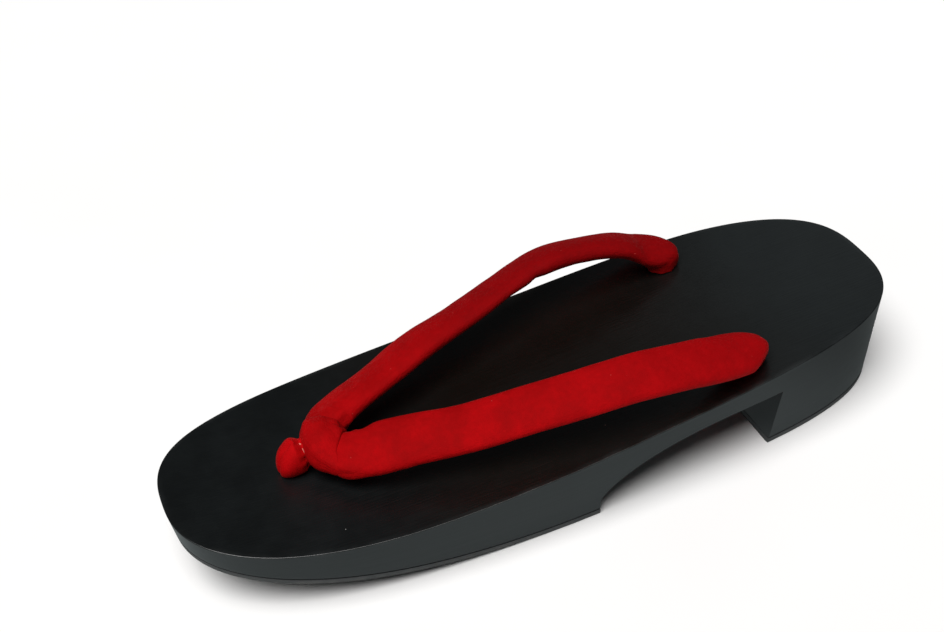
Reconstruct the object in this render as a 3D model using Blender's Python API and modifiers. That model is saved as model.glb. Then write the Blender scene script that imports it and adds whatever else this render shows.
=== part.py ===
"""Geta sandal: a lacquered wooden body on two thin rubber soles, with a padded cloth strap.

The toe points to -Y, the heel to +Y, and the sandal stands on the plane z = 0. Sizes are in metres.
"""
import math
from typing import NamedTuple

import bmesh
import bpy
from mathutils import Vector

# Body
LENGTH = 0.240
WIDTH = 0.083
HEEL_HEIGHT = 0.0373
WIDEST = 0.48
HEEL_NARROWING = 0.08
TOE_FULLNESS = 3.2
TOE_ROUNDNESS = 2.6
HEEL_FULLNESS = 4.4
HEEL_ROUNDNESS = 2.8
EDGE_RADIUS = 0.0005
EDGE_ANGLE = 50.0

# Lean of the wall, in degrees from upright, at the toe's tip, along the sides and at the heel's tip
TOE_LEAN = 7.5
FORE_SIDE_LEAN = 11.5
HEEL_SIDE_LEAN = 7.5
HEEL_LEAN = 3.0

# Underside: flat from the ball to the arch, then rising to the toe
TOE_LIFT = 0.0183
FLAT_START = 0.46
LIFT_POWER = 1.75

# Heel block, and the arch between it and the forefoot
HEEL_LENGTH = 0.0533
HEEL_FACE_LEAN = 3.0
ARCH_LENGTH = 0.0623
ARCH_STEP = 0.0066
ARCH_HEIGHT = 0.0243
ARCH_FALL = 3.0
ARCH_BLUNTNESS = 0.7

# Soles
SOLE_THICKNESS = 0.0025
SOLE_REACH = 0.0005

# Holes for the strap, in front of the heel block, and for the thong, behind the toe's tip
REAR_HOLE_SPREAD = 0.053
REAR_HOLE_SETBACK = 0.0069
REAR_HOLE_DIAMETER = 0.0110
FRONT_HOLE_SETBACK = 0.0400
FRONT_HOLE_DIAMETER = 0.0090

# Strap, which is pinched where it folds
STRAP_WIDTH = 0.0158
STRAP_THICKNESS = 0.0064
STRAP_RISE = 0.0174
FOLD_WIDTH = 0.0100
FOLD_THICKNESS = 0.0078
FOLD_HEIGHT = 0.0081
FLAT_FULLNESS = 0.22
NECK_RISE = 0.0013
KNOT_DIAMETER = 0.0128
KNOT_HEIGHT = 0.0085

# Thong: a stem in the front hole, a nub on the deck and a band round the strap's fold
NUB_WIDTH = 0.0110
NUB_LENGTH = 0.0094
NUB_HEIGHT = 0.0116
BAND_WALL = 0.0017
BAND_LAP = 0.0012

# Space that neighbouring pieces keep
CLEARANCE = 0.0003

# Fineness of the meshes
SLOPE_STEP = 0.001
ARCH_BUNCHING = 1.6
SMOOTH_ANGLE = 35.0
OUTLINE_STEPS = 44
SOLE_STEPS = 30
ARCH_STEPS = 18
STRAP_STEPS = 3
BAND_STEPS = 5
SECTION_POINTS = 16
HOLE_SIDES = 24


class TopRow(NamedTuple):
    """A point of the deck's side profile."""

    along: float   # share of the length, from the toe
    height: float  # share of the heel's height


TOP_ROWS = [
    TopRow(0.00, 0.768),
    TopRow(0.11, 0.690),
    TopRow(0.23, 0.657),
    TopRow(0.36, 0.680),
    TopRow(0.50, 0.745),
    TopRow(0.66, 0.845),
    TopRow(0.82, 0.940),
    TopRow(1.00, 1.000),
]


class StrapRow(NamedTuple):
    """A section of the strap between the fold in front and the rear hole."""

    along: float  # share of the way from the fold to the hole
    out: float    # share of the hole's distance from the centre plane
    rise: float   # middle of the section above the deck, share of the strap's rise
    width: float  # share of the strap's width
    thick: float  # share of the strap's thickness
    tilt: float   # degrees by which the outer edge hangs lower


STRAP_ROWS = [
    StrapRow(0.006, 0.110, 0.46, 0.66, 1.22, 4.0),
    StrapRow(0.021, 0.220, 0.45, 0.78, 1.19, 12.0),
    StrapRow(0.046, 0.350, 0.48, 1.04, 1.16, 19.0),
    StrapRow(0.086, 0.455, 0.56, 1.12, 1.08, 20.0),
    StrapRow(0.143, 0.545, 0.62, 1.09, 1.02, 20.0),
    StrapRow(0.201, 0.627, 0.66, 1.04, 1.00, 20.0),
    StrapRow(0.310, 0.796, 0.74, 1.00, 1.00, 19.0),
    StrapRow(0.434, 0.943, 0.86, 1.00, 1.00, 19.0),
    StrapRow(0.559, 1.109, 0.98, 1.00, 1.00, 19.0),
    StrapRow(0.683, 1.208, 1.00, 1.00, 1.00, 18.0),
    StrapRow(0.808, 1.234, 0.83, 1.01, 1.00, 18.0),
    StrapRow(0.894, 1.215, 0.63, 1.02, 1.05, 16.0),
    StrapRow(0.950, 1.165, 0.48, 1.01, 1.12, 12.0),
    StrapRow(0.988, 1.090, 0.35, 0.95, 1.28, 6.0),
    StrapRow(1.004, 1.025, 0.23, 0.82, 1.50, 0.0),
]


class KnotRow(NamedTuple):
    """A section of the strap's knot below the deck."""

    drop: float   # share of the knot's height, from its top
    width: float  # share of the knot's diameter


KNOT_ROWS = [
    KnotRow(0.12, 0.93),
    KnotRow(0.35, 1.00),
    KnotRow(0.65, 0.97),
    KnotRow(0.88, 0.78),
    KnotRow(1.00, 0.45),
]


class NubRow(NamedTuple):
    """A level section of the thong's nub above the deck."""

    rise: float    # share of the nub's height
    width: float   # share of its width
    length: float  # share of its length
    shift: float   # towards the heel, share of its length


NUB_ROWS = [
    NubRow(0.14, 0.84, 0.90, 0.00),
    NubRow(0.30, 0.96, 0.98, 0.00),
    NubRow(0.48, 1.00, 1.00, 0.00),
    NubRow(0.66, 0.96, 0.95, 0.02),
    NubRow(0.82, 0.82, 0.80, 0.06),
    NubRow(0.94, 0.56, 0.54, 0.10),
    NubRow(1.00, 0.28, 0.26, 0.12),
]


def clear_scene() -> None:
    """Remove every object that the scene starts with."""
    for thing in list(bpy.data.objects):
        bpy.data.objects.remove(thing, do_unlink=True)


def new_collection(name: str) -> bpy.types.Collection:
    """Make a collection in the scene."""
    collection = bpy.data.collections.new(name)
    bpy.context.scene.collection.children.link(collection)
    return collection


def new_material(name: str, color: tuple, roughness: float, metallic: float = 0.0) -> bpy.types.Material:
    """Make a plain material with one colour."""
    material = bpy.data.materials.new(name)
    material.use_nodes = True
    shader = material.node_tree.nodes["Principled BSDF"]
    shader.inputs["Base Color"].default_value = (*color, 1.0)
    shader.inputs["Roughness"].default_value = roughness
    shader.inputs["Metallic"].default_value = metallic
    return material


def blend_rows(before: tuple, start: tuple, end: tuple, after: tuple, share: float) -> list:
    """Read a smooth curve through four rows, between the second and the third."""
    squared = share * share
    cubed = squared * share
    weights = (
        (-cubed + 2.0 * squared - share) / 2.0,
        (3.0 * cubed - 5.0 * squared + 2.0) / 2.0,
        (-3.0 * cubed + 4.0 * squared + share) / 2.0,
        (cubed - squared) / 2.0,
    )
    return [sum(w * v for w, v in zip(weights, column)) for column in zip(before, start, end, after)]


def smooth_rows(rows: list, steps: int) -> list:
    """Refine a table by a smooth curve; its first and last rows only steer the ends."""
    result = []
    for index in range(1, len(rows) - 2):
        for step in range(steps):
            result.append(blend_rows(*rows[index - 1:index + 3], step / steps))
    result.append(list(rows[-2]))
    return result


def deck_height(y: float) -> float:
    """Height of the deck, which is level from side to side."""
    along = min(max(y / LENGTH + 0.5, 0.0), 1.0)
    index = 0
    while index < len(TOP_ROWS) - 2 and along > TOP_ROWS[index + 1].along:
        index += 1
    start = TOP_ROWS[index]
    end = TOP_ROWS[index + 1]
    before = TOP_ROWS[max(index - 1, 0)]
    after = TOP_ROWS[min(index + 2, len(TOP_ROWS) - 1)]
    span = end.along - start.along
    share = (along - start.along) / span
    slope_in = (end.height - before.height) / (end.along - before.along) * span
    slope_out = (after.height - start.height) / (after.along - start.along) * span
    height = (
        (2.0 * share ** 3 - 3.0 * share ** 2 + 1.0) * start.height
        + (share ** 3 - 2.0 * share ** 2 + share) * slope_in
        + (3.0 * share ** 2 - 2.0 * share ** 3) * end.height
        + (share ** 3 - share ** 2) * slope_out
    )
    return height * HEEL_HEIGHT


def floor_lift(y: float) -> float:
    """Height of the soles' underside, which curves up to the toe."""
    along = y / LENGTH + 0.5
    if along >= FLAT_START:
        return 0.0
    return TOE_LIFT * ((FLAT_START - along) / FLAT_START) ** LIFT_POWER


def half_width(along: float) -> float:
    """Half the deck's width at a share of the length."""
    if along < WIDEST:
        reach = (WIDEST - along) / WIDEST
        return WIDTH / 2.0 * max(1.0 - reach ** TOE_FULLNESS, 0.0) ** (1.0 / TOE_ROUNDNESS)
    reach = (along - WIDEST) / (1.0 - WIDEST)
    narrowed = WIDTH / 2.0 * (1.0 - HEEL_NARROWING * reach)
    return narrowed * max(1.0 - reach ** HEEL_FULLNESS, 0.0) ** (1.0 / HEEL_ROUNDNESS)


def wall_lean(along: float, facing: Vector) -> float:
    """Lean of the wall, as the inset for each metre down."""
    side = FORE_SIDE_LEAN + (HEEL_SIDE_LEAN - FORE_SIDE_LEAN) * along
    lean = side
    lean += (TOE_LEAN - side) * max(-facing.y, 0.0) ** 2
    lean += (HEEL_LEAN - side) * max(facing.y, 0.0) ** 2
    return math.tan(math.radians(lean))


def outline(start: float, end: float, steps: int) -> list:
    """Points of the deck's near edge with the way that the wall faces, from start to end."""
    turn_start = math.acos(1.0 - 2.0 * start)
    turn_end = math.acos(1.0 - 2.0 * end)
    points = []
    for step in range(steps + 1):
        turn = turn_start + (turn_end - turn_start) * step / steps
        along = (1.0 - math.cos(turn)) / 2.0
        ahead = max(along - SLOPE_STEP, 0.0)
        behind = min(along + SLOPE_STEP, 1.0)
        edge = Vector((half_width(behind) - half_width(ahead), (behind - ahead) * LENGTH, 0.0))
        facing = Vector((edge.y, -edge.x, 0.0)).normalized()
        if step == 0 and start == 0.0:
            facing = Vector((0.0, -1.0, 0.0))
        if step == steps and end == 1.0:
            facing = Vector((0.0, 1.0, 0.0))
        points.append((Vector((half_width(along), (along - 0.5) * LENGTH, 0.0)), facing, along))
    return points


def wall_point(point: Vector, facing: Vector, along: float, height: float) -> Vector:
    """Point of the leaning wall at a height, under a point of the deck's edge."""
    place = point - facing * wall_lean(along, facing) * (deck_height(point.y) - height)
    place.z = height
    return place


def slab(name: str, start: float, end: float, steps: int, low, high) -> bpy.types.Object:
    """Make the part of the body's form between two heights, which are functions of y."""
    near = outline(start, end, steps)
    rings = []
    for height in (low, high):
        ring = [wall_point(*entry, height(entry[0].y)) for entry in near]
        rings.append(ring)
    mesh = bmesh.new()
    columns = []
    for lower, upper in zip(*rings):
        corners = []
        for point in (upper, lower):
            if point.x < CLEARANCE:
                middle = mesh.verts.new((0.0, point.y, point.z))
                corners.append((middle, middle))
            else:
                corners.append((mesh.verts.new(point), mesh.verts.new((-point.x, point.y, point.z))))
        (upper_near, upper_far), (lower_near, lower_far) = corners
        columns.append([upper_near, upper_far, lower_far, lower_near])
    for first, second in zip(columns, columns[1:]):
        for corner in range(4):
            following = (corner + 1) % 4
            face = [first[corner], first[following], second[following], second[corner]]
            face = list(dict.fromkeys(face))
            if len(face) > 2:
                mesh.faces.new(face)
    for column in (columns[0], columns[-1]):
        face = list(dict.fromkeys(column))
        if len(face) > 2:
            mesh.faces.new(face)
    return finish_mesh(name, mesh)


def skin(name: str, loops: list) -> bpy.types.Object:
    """Make a closed tube through loops of points, capped at both ends."""
    mesh = bmesh.new()
    rings = [[mesh.verts.new(point) for point in loop] for loop in loops]
    for first, second in zip(rings, rings[1:]):
        for index in range(len(first)):
            following = (index + 1) % len(first)
            mesh.faces.new((first[index], first[following], second[following], second[index]))
    mesh.faces.new(rings[0])
    mesh.faces.new(reversed(rings[-1]))
    return finish_mesh(name, mesh)


def finish_mesh(name: str, mesh: bmesh.types.BMesh) -> bpy.types.Object:
    """Turn a bmesh into an object, with its faces pointing out."""
    bmesh.ops.recalc_face_normals(mesh, faces=mesh.faces)
    data = bpy.data.meshes.new(name)
    mesh.to_mesh(data)
    mesh.free()
    return bpy.data.objects.new(name, data)


def combine(target: bpy.types.Object, tool: bpy.types.Object, operation: str) -> None:
    """Cut one object by another that doesn't show, or join the two."""
    tool.hide_render = True
    tool.display_type = "WIRE"
    modifier = target.modifiers.new(tool.name, "BOOLEAN")
    modifier.operation = operation
    modifier.solver = "EXACT"
    modifier.object = tool


def hole_cutter(name: str, x: float, y: float, diameter: float, cutters) -> bpy.types.Object:
    """Make an upright cylinder through the whole body."""
    bpy.ops.mesh.primitive_cylinder_add(
        vertices=HOLE_SIDES, radius=diameter / 2.0, depth=HEEL_HEIGHT + WIDTH, location=(x, y, HEEL_HEIGHT / 2.0)
    )
    cutter = bpy.context.object
    cutter.name = name
    for collection in list(cutter.users_collection):
        collection.objects.unlink(cutter)
    cutters.objects.link(cutter)
    return cutter


def heel_face(height: float) -> float:
    """Place of the heel block's front face at a height."""
    return LENGTH / 2.0 - HEEL_LENGTH + height * math.tan(math.radians(HEEL_FACE_LEAN))


def arch_front() -> float:
    """Place of the small step where the arch starts."""
    return heel_face(0.0) - ARCH_LENGTH


def arch_roof(y: float) -> float:
    """Height of the arch above the floor, between its step and the heel block."""
    share = (y - arch_front()) / (heel_face(ARCH_HEIGHT) - arch_front())
    fullness = (1.0 - (1.0 - share) ** ARCH_FALL) ** ARCH_BLUNTNESS
    return ARCH_STEP + (ARCH_HEIGHT - ARCH_STEP) * fullness


def arch_cutter(cutters) -> bpy.types.Object:
    """Make the arch's side profile as a bar across the body."""
    front = arch_front()
    back = heel_face(ARCH_HEIGHT)
    profile = [(front, -HEEL_HEIGHT), (front, ARCH_STEP)]
    for step in range(1, ARCH_STEPS + 1):
        y = front + (back - front) * (step / ARCH_STEPS) ** ARCH_BUNCHING
        profile.append((y, arch_roof(y)))
    profile.append((heel_face(-HEEL_HEIGHT), -HEEL_HEIGHT))
    loops = []
    for x in (-WIDTH, WIDTH):
        loops.append([Vector((x, y, z)) for y, z in profile])
    cutter = skin("arch_profile", loops)
    cutters.objects.link(cutter)
    return cutter


def make_body(cutters) -> bpy.types.Object:
    """Make the wooden body with its arch, heel block and three holes."""
    body = slab("body", 0.0, 1.0, OUTLINE_STEPS, lambda y: floor_lift(y) + SOLE_THICKNESS, deck_height)
    bevel = body.modifiers.new("worn_edges", "BEVEL")
    bevel.width = EDGE_RADIUS
    bevel.segments = 2
    bevel.limit_method = "ANGLE"
    bevel.angle_limit = math.radians(EDGE_ANGLE)
    combine(body, arch_cutter(cutters), "DIFFERENCE")
    rear = rear_hole_place()
    for name, x, y, diameter in (
        ("near_hole", rear.x, rear.y, REAR_HOLE_DIAMETER),
        ("far_hole", -rear.x, rear.y, REAR_HOLE_DIAMETER),
        ("front_hole", 0.0, front_hole_place(), FRONT_HOLE_DIAMETER),
    ):
        combine(body, hole_cutter(name, x, y, diameter, cutters), "DIFFERENCE")
    return body


def sole_top(y: float) -> float:
    """Height of a sole's upper face."""
    return floor_lift(y) + SOLE_THICKNESS - CLEARANCE


def make_front_sole() -> bpy.types.Object:
    """Make the forefoot's rubber sole, which ends at the arch."""
    end = (arch_front() + SOLE_REACH) / LENGTH + 0.5
    return slab("front_sole", 0.0, end, SOLE_STEPS, floor_lift, sole_top)


def make_heel_sole() -> bpy.types.Object:
    """Make the heel block's rubber sole."""
    start = heel_face(0.0) / LENGTH + 0.5
    return slab("heel_sole", start, 1.0, SOLE_STEPS, floor_lift, sole_top)


def rear_hole_place() -> Vector:
    """Middle of the near rear hole, just in front of the heel block."""
    return Vector((REAR_HOLE_SPREAD / 2.0, heel_face(0.0) - REAR_HOLE_SETBACK, 0.0))


def front_hole_place() -> float:
    """Middle of the front hole."""
    return FRONT_HOLE_SETBACK - LENGTH / 2.0


def fold_place() -> float:
    """Middle of the strap's fold; the band round it is sewn into the back of the nub."""
    return front_hole_place() + NUB_LENGTH / 2.0 - BAND_LAP + BAND_WALL + FOLD_WIDTH / 2.0


def strap_stations() -> list:
    """Sections of the near half of the strap above the deck: x, y, z, width, thickness, tilt."""
    hole = rear_hole_place()
    fold = fold_place()
    stations = [(0.0, fold, deck_height(fold) + FOLD_HEIGHT, FOLD_WIDTH, FOLD_THICKNESS, 0.0)]
    for row in STRAP_ROWS:
        y = fold + row.along * (hole.y - fold)
        stations.append((
            row.out * hole.x,
            y,
            deck_height(y) + row.rise * STRAP_RISE,
            row.width * STRAP_WIDTH,
            row.thick * STRAP_THICKNESS,
            row.tilt,
        ))
    tail = REAR_HOLE_DIAMETER - 2.0 * CLEARANCE
    stations.append((hole.x, hole.y, deck_height(hole.y) + NECK_RISE, tail, tail, 0.0))
    mirrored = (-stations[1][0], *stations[1][1:])
    return smooth_rows([mirrored, *stations, stations[-1]], STRAP_STEPS)


def section(middle: Vector, across: Vector, face: Vector, width: float, thick: float) -> list:
    """Points of a padded section: full on its faces where it is flat, and round where it is as thick as wide."""
    power = 1.0 - FLAT_FULLNESS * (1.0 - min(thick / width, 1.0))
    points = []
    for index in range(SECTION_POINTS):
        turn = 2.0 * math.pi * index / SECTION_POINTS
        sideways = math.copysign(abs(math.cos(turn)) ** power, math.cos(turn)) * width / 2.0
        outwards = math.copysign(abs(math.sin(turn)) ** power, math.sin(turn)) * thick / 2.0
        points.append(middle + across * sideways + face * outwards)
    return points


def strap_loops(growth: list) -> list:
    """Sections of the near half of the strap above the deck, as loops of points, each grown all round."""
    stations = strap_stations()
    middles = [Vector(station[:3]) for station in stations]
    down = Vector((0.0, 0.0, -1.0))
    loops = []
    for index, extra in enumerate(growth):
        _, _, _, width, thick, tilt = stations[index]
        ahead = middles[min(index + 1, len(middles) - 1)]
        behind = middles[max(index - 1, 0)]
        run = (ahead - behind).normalized()
        if index == 0:
            run = Vector((1.0, 0.0, 0.0))
        if index == len(stations) - 1:
            run = down
        dive = run.z ** 2
        across = run.cross(Vector((0.0, dive, 1.0 - dive))).normalized()
        face = across.cross(run)
        lean = math.radians(tilt)
        tilted = across * math.cos(lean) - face * math.sin(lean)
        face = tilted.cross(run)
        loops.append(section(middles[index], tilted, face, width + 2.0 * extra, thick + 2.0 * extra))
    return loops


def both_sides(near: list) -> list:
    """Loops of the far half, mirrored from the near half, and then the near half's own."""
    far = [[Vector((-point.x, point.y, point.z)) for point in loop] for loop in near[1:]]
    far.reverse()
    return far + near


def tail_loops() -> list:
    """Sections of the strap's tail through the hole, and of its knot under the deck."""
    hole = rear_hole_place()
    tail = REAR_HOLE_DIAMETER - 2.0 * CLEARANCE
    knot_top = arch_roof(hole.y - KNOT_DIAMETER / 2.0) - CLEARANCE
    levels = [(knot_top, tail)]
    for row in KNOT_ROWS:
        levels.append((knot_top - row.drop * KNOT_HEIGHT, row.width * KNOT_DIAMETER))
    across = Vector((1.0, 0.0, 0.0))
    face = Vector((0.0, 1.0, 0.0))
    return [section(Vector((hole.x, hole.y, z)), across, face, size, size) for z, size in levels]


def make_strap() -> bpy.types.Object:
    """Make both straps as one padded tube, folded at the front, with a knot under each rear hole."""
    plain = [0.0] * len(strap_stations())
    return skin("strap", both_sides(strap_loops(plain) + tail_loops()))


def make_band(cutters) -> bpy.types.Object:
    """Make the thong's band round the fold, crowned across its width and still filled."""
    walls = [BAND_WALL * math.sqrt(1.0 - (step / (BAND_STEPS + 1)) ** 2) for step in range(BAND_STEPS + 1)]
    band = skin("band", both_sides(strap_loops(walls)))
    cutters.objects.link(band)
    return band


def strap_space(cutters) -> bpy.types.Object:
    """Make the space that the strap takes through the band, with its clearance."""
    room = [CLEARANCE] * (BAND_STEPS + STRAP_STEPS)
    space = skin("strap_space", both_sides(strap_loops(room)))
    cutters.objects.link(space)
    return space


def make_thong(cutters) -> bpy.types.Object:
    """Make the front thong: a stem in its hole, a round nub on the deck and a band round the strap."""
    middle = front_hole_place()
    stem = FRONT_HOLE_DIAMETER - 2.0 * CLEARANCE
    deck = deck_height(middle)
    bottom = floor_lift(middle - FRONT_HOLE_DIAMETER / 2.0) + SOLE_THICKNESS
    levels = [(bottom, stem, stem, middle), (deck + CLEARANCE, stem, stem, middle)]
    for row in NUB_ROWS:
        levels.append((
            deck + row.rise * NUB_HEIGHT,
            row.width * NUB_WIDTH,
            row.length * NUB_LENGTH,
            middle + row.shift * NUB_LENGTH,
        ))
    loops = []
    for z, width, length, y in levels:
        loop = []
        for index in range(SECTION_POINTS):
            turn = 2.0 * math.pi * index / SECTION_POINTS
            loop.append(Vector((math.cos(turn) * width / 2.0, y + math.sin(turn) * length / 2.0, z)))
        loops.append(loop)
    thong = skin("thong", loops)
    combine(thong, make_band(cutters), "UNION")
    combine(thong, strap_space(cutters), "DIFFERENCE")
    return thong


def dress(thing: bpy.types.Object, material: bpy.types.Material, collection) -> None:
    """Give an object its material and put it in the sandal's collection."""
    thing.data.materials.clear()
    thing.data.materials.append(material)
    thing.data.shade_smooth()
    thing.data.set_sharp_from_angle(angle=math.radians(SMOOTH_ANGLE))
    collection.objects.link(thing)


def main() -> None:
    """Build the sandal."""
    clear_scene()
    sandal = new_collection("geta_sandal")
    cutters = new_collection("cutters")
    lacquer = new_material("black_lacquer", (0.010, 0.010, 0.012), 0.35)
    front_rubber = new_material("front_rubber", (0.016, 0.016, 0.017), 0.70)
    heel_rubber = new_material("heel_rubber", (0.016, 0.016, 0.017), 0.70)
    strap_cloth = new_material("strap_cloth", (0.62, 0.008, 0.010), 0.85)
    thong_cloth = new_material("thong_cloth", (0.60, 0.008, 0.010), 0.85)
    dress(make_body(cutters), lacquer, sandal)
    dress(make_front_sole(), front_rubber, sandal)
    dress(make_heel_sole(), heel_rubber, sandal)
    dress(make_strap(), strap_cloth, sandal)
    dress(make_thong(cutters), thong_cloth, sandal)


main()
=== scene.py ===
"""Looks of a geta sandal: a black lacquered wooden body, thin rubber soles and a red velveteen strap.

The toe points to -Y, the heel to +Y, and the sandal stands on the plane z = 0. Sizes are in metres.
"""
import logging
import math
from dataclasses import dataclass
from enum import Enum
from typing import Callable, NamedTuple

import bmesh
import bpy
from mathutils import Matrix, Vector, noise


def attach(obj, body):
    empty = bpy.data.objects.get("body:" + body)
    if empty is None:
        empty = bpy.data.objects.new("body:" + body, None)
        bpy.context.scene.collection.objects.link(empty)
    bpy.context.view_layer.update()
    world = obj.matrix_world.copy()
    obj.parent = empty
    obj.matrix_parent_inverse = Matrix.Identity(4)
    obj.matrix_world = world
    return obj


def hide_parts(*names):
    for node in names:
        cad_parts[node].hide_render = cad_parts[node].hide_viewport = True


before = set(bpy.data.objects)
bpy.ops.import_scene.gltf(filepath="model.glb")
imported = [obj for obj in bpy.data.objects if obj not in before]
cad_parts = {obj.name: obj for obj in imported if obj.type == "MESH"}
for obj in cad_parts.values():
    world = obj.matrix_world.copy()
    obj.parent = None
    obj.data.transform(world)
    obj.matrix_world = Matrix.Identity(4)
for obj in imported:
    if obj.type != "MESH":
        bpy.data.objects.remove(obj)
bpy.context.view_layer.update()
BODY = "root"
HALF_TURN = math.pi
FULL_TURN = 2.0 * math.pi
SHARP_ANGLE = 40.0
TUBE_SHARP_ANGLE = 60.0
LEVEL_WEIGHT = 100
EDGE_MARK = "edge"
CLOTH_MAP = "length_and_girth"
WHITE = (1.0, 1.0, 1.0, 1.0)

log = logging.getLogger("geta_sandal")


class Side(Enum):
    """Side of the sandal's middle plane, as the sign of x."""

    NEAR = 1.0
    FAR = -1.0


class Slot(Enum):
    """The record's material slots."""

    WOOD = "lacquered_wood"
    RUBBER = "sole_rubber"
    CLOTH = "strap_cloth"


class ProfileRow(NamedTuple):
    """A point of the deck's side profile."""

    along: float   # share of the length, from the toe
    height: float  # share of the heel's height


class StrapRow(NamedTuple):
    """A section of the strap between the fold in front and the rear hole."""

    along: float  # share of the way from the fold to the hole
    out: float    # distance from the middle plane, share of the strap's reach
    rise: float   # middle of the section above the deck, share of the strap's rise
    width: float  # share of the strap's width
    thick: float  # share of the strap's thickness
    tilt: float   # degrees by which the outer edge hangs lower


class KnotRow(NamedTuple):
    """A section of the strap's knot below the deck."""

    drop: float   # share of the knot's height, from its top
    width: float  # share of the knot's diameter


class NubRow(NamedTuple):
    """An upright section of the thong's nub, on its way from the toe's side to its neck."""

    back: float    # towards the heel from the hole's middle, share of the nub's length
    rise: float    # middle of the section above the deck, share of the nub's height
    width: float   # share of the nub's width
    height: float  # share of the nub's height


class Crease(NamedTuple):
    """A soft trough, or a ridge where its depth is negative, on the strap."""

    side: Side
    along: float   # share of the way from the fold to the hole
    turn: float    # degrees round the section: 0 outer edge, 90 top, 180 inner edge, 270 underside
    run: float     # its half length, in metres
    width: float   # its half width, in metres
    slant: float   # degrees from the strap's length towards its width
    depth: float   # in metres

    def dip(self, length: float, turn: float, girth: float) -> float:
        """Depth of the crease at a point of the strap.

        Args:
            length: Distance along the strap from the crease's middle to the point.
            turn: Angle of the point round its section, in degrees.
            girth: Girth of the section.

        Returns:
            The depth, in metres.
        """
        wide = ((turn - self.turn + 180.0) % 360.0 - 180.0) / 360.0 * girth
        slant = math.radians(self.slant)
        forward = length * math.cos(slant) + wide * math.sin(slant)
        sideways = wide * math.cos(slant) - length * math.sin(slant)
        return self.depth * bell(forward, self.run) * bell(sideways, self.width)


@dataclass(frozen=True)
class Ring:
    """One section of a tube: where it is, its two axes and its size."""

    middle: Vector
    across: Vector
    face: Vector
    width: float
    thick: float


def smooth_step(value: float, start: float, end: float) -> float:
    """Rise smoothly from 0 at start to 1 at end.

    Args:
        value: Where to read the rise.
        start: Value where it leaves 0.
        end: Value where it reaches 1.

    Returns:
        The share from 0 to 1.
    """
    share = min(max((value - start) / (end - start), 0.0), 1.0)
    return share * share * (3.0 - 2.0 * share)


def bell(distance: float, reach: float) -> float:
    """Height of a smooth mound, which is 1 in its middle and fades over its reach."""
    return math.exp(-((distance / reach) ** 2))


def signed_power(value: float, power: float) -> float:
    """Raise the size of a value to a power and keep its sign."""
    return math.copysign(abs(value) ** power, value)


def hermite(first: float | Vector, leaving: float | Vector, last: float | Vector,
            arriving: float | Vector, share: float) -> float | Vector:
    """Read a curve that leaves one place and arrives at another in given directions.

    Args:
        first: Where it starts.
        leaving: How it leaves there.
        last: Where it ends.
        arriving: How it arrives there.
        share: Place on the curve, from 0 to 1.

    Returns:
        The place read there.
    """
    squared, cubed = share ** 2, share ** 3
    curve = first * (2.0 * cubed - 3.0 * squared + 1.0) + leaving * (cubed - 2.0 * squared + share)
    return curve + last * (3.0 * squared - 2.0 * cubed) + arriving * (cubed - squared)


def blend_rows(rows: list, share: float) -> list:
    """Read a smooth curve through four rows, between the second and the third.

    Args:
        rows: Four rows of numbers.
        share: Place between the second row, 0, and the third, 1.

    Returns:
        The row read there.
    """
    squared = share * share
    cubed = squared * share
    weights = (
        (-cubed + 2.0 * squared - share) / 2.0,
        (3.0 * cubed - 5.0 * squared + 2.0) / 2.0,
        (-3.0 * cubed + 4.0 * squared + share) / 2.0,
        (cubed - squared) / 2.0,
    )
    return [sum(w * v for w, v in zip(weights, column)) for column in zip(*rows)]


def smooth_rows(rows: list, steps: int) -> list:
    """Refine a table by a smooth curve; its first and last rows only steer the ends.

    Args:
        rows: Rows of numbers.
        steps: New rows for each old one.

    Returns:
        The refined rows, from the second old row to the last but one.
    """
    result = []
    for index in range(1, len(rows) - 2):
        for step in range(steps):
            result.append(blend_rows(rows[index - 1:index + 3], step / steps))
    result.append(list(rows[-2]))
    return result


def mirrored(point: Vector) -> Vector:
    """Mirror a point in the sandal's middle plane."""
    return Vector((-point.x, point.y, point.z))


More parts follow.
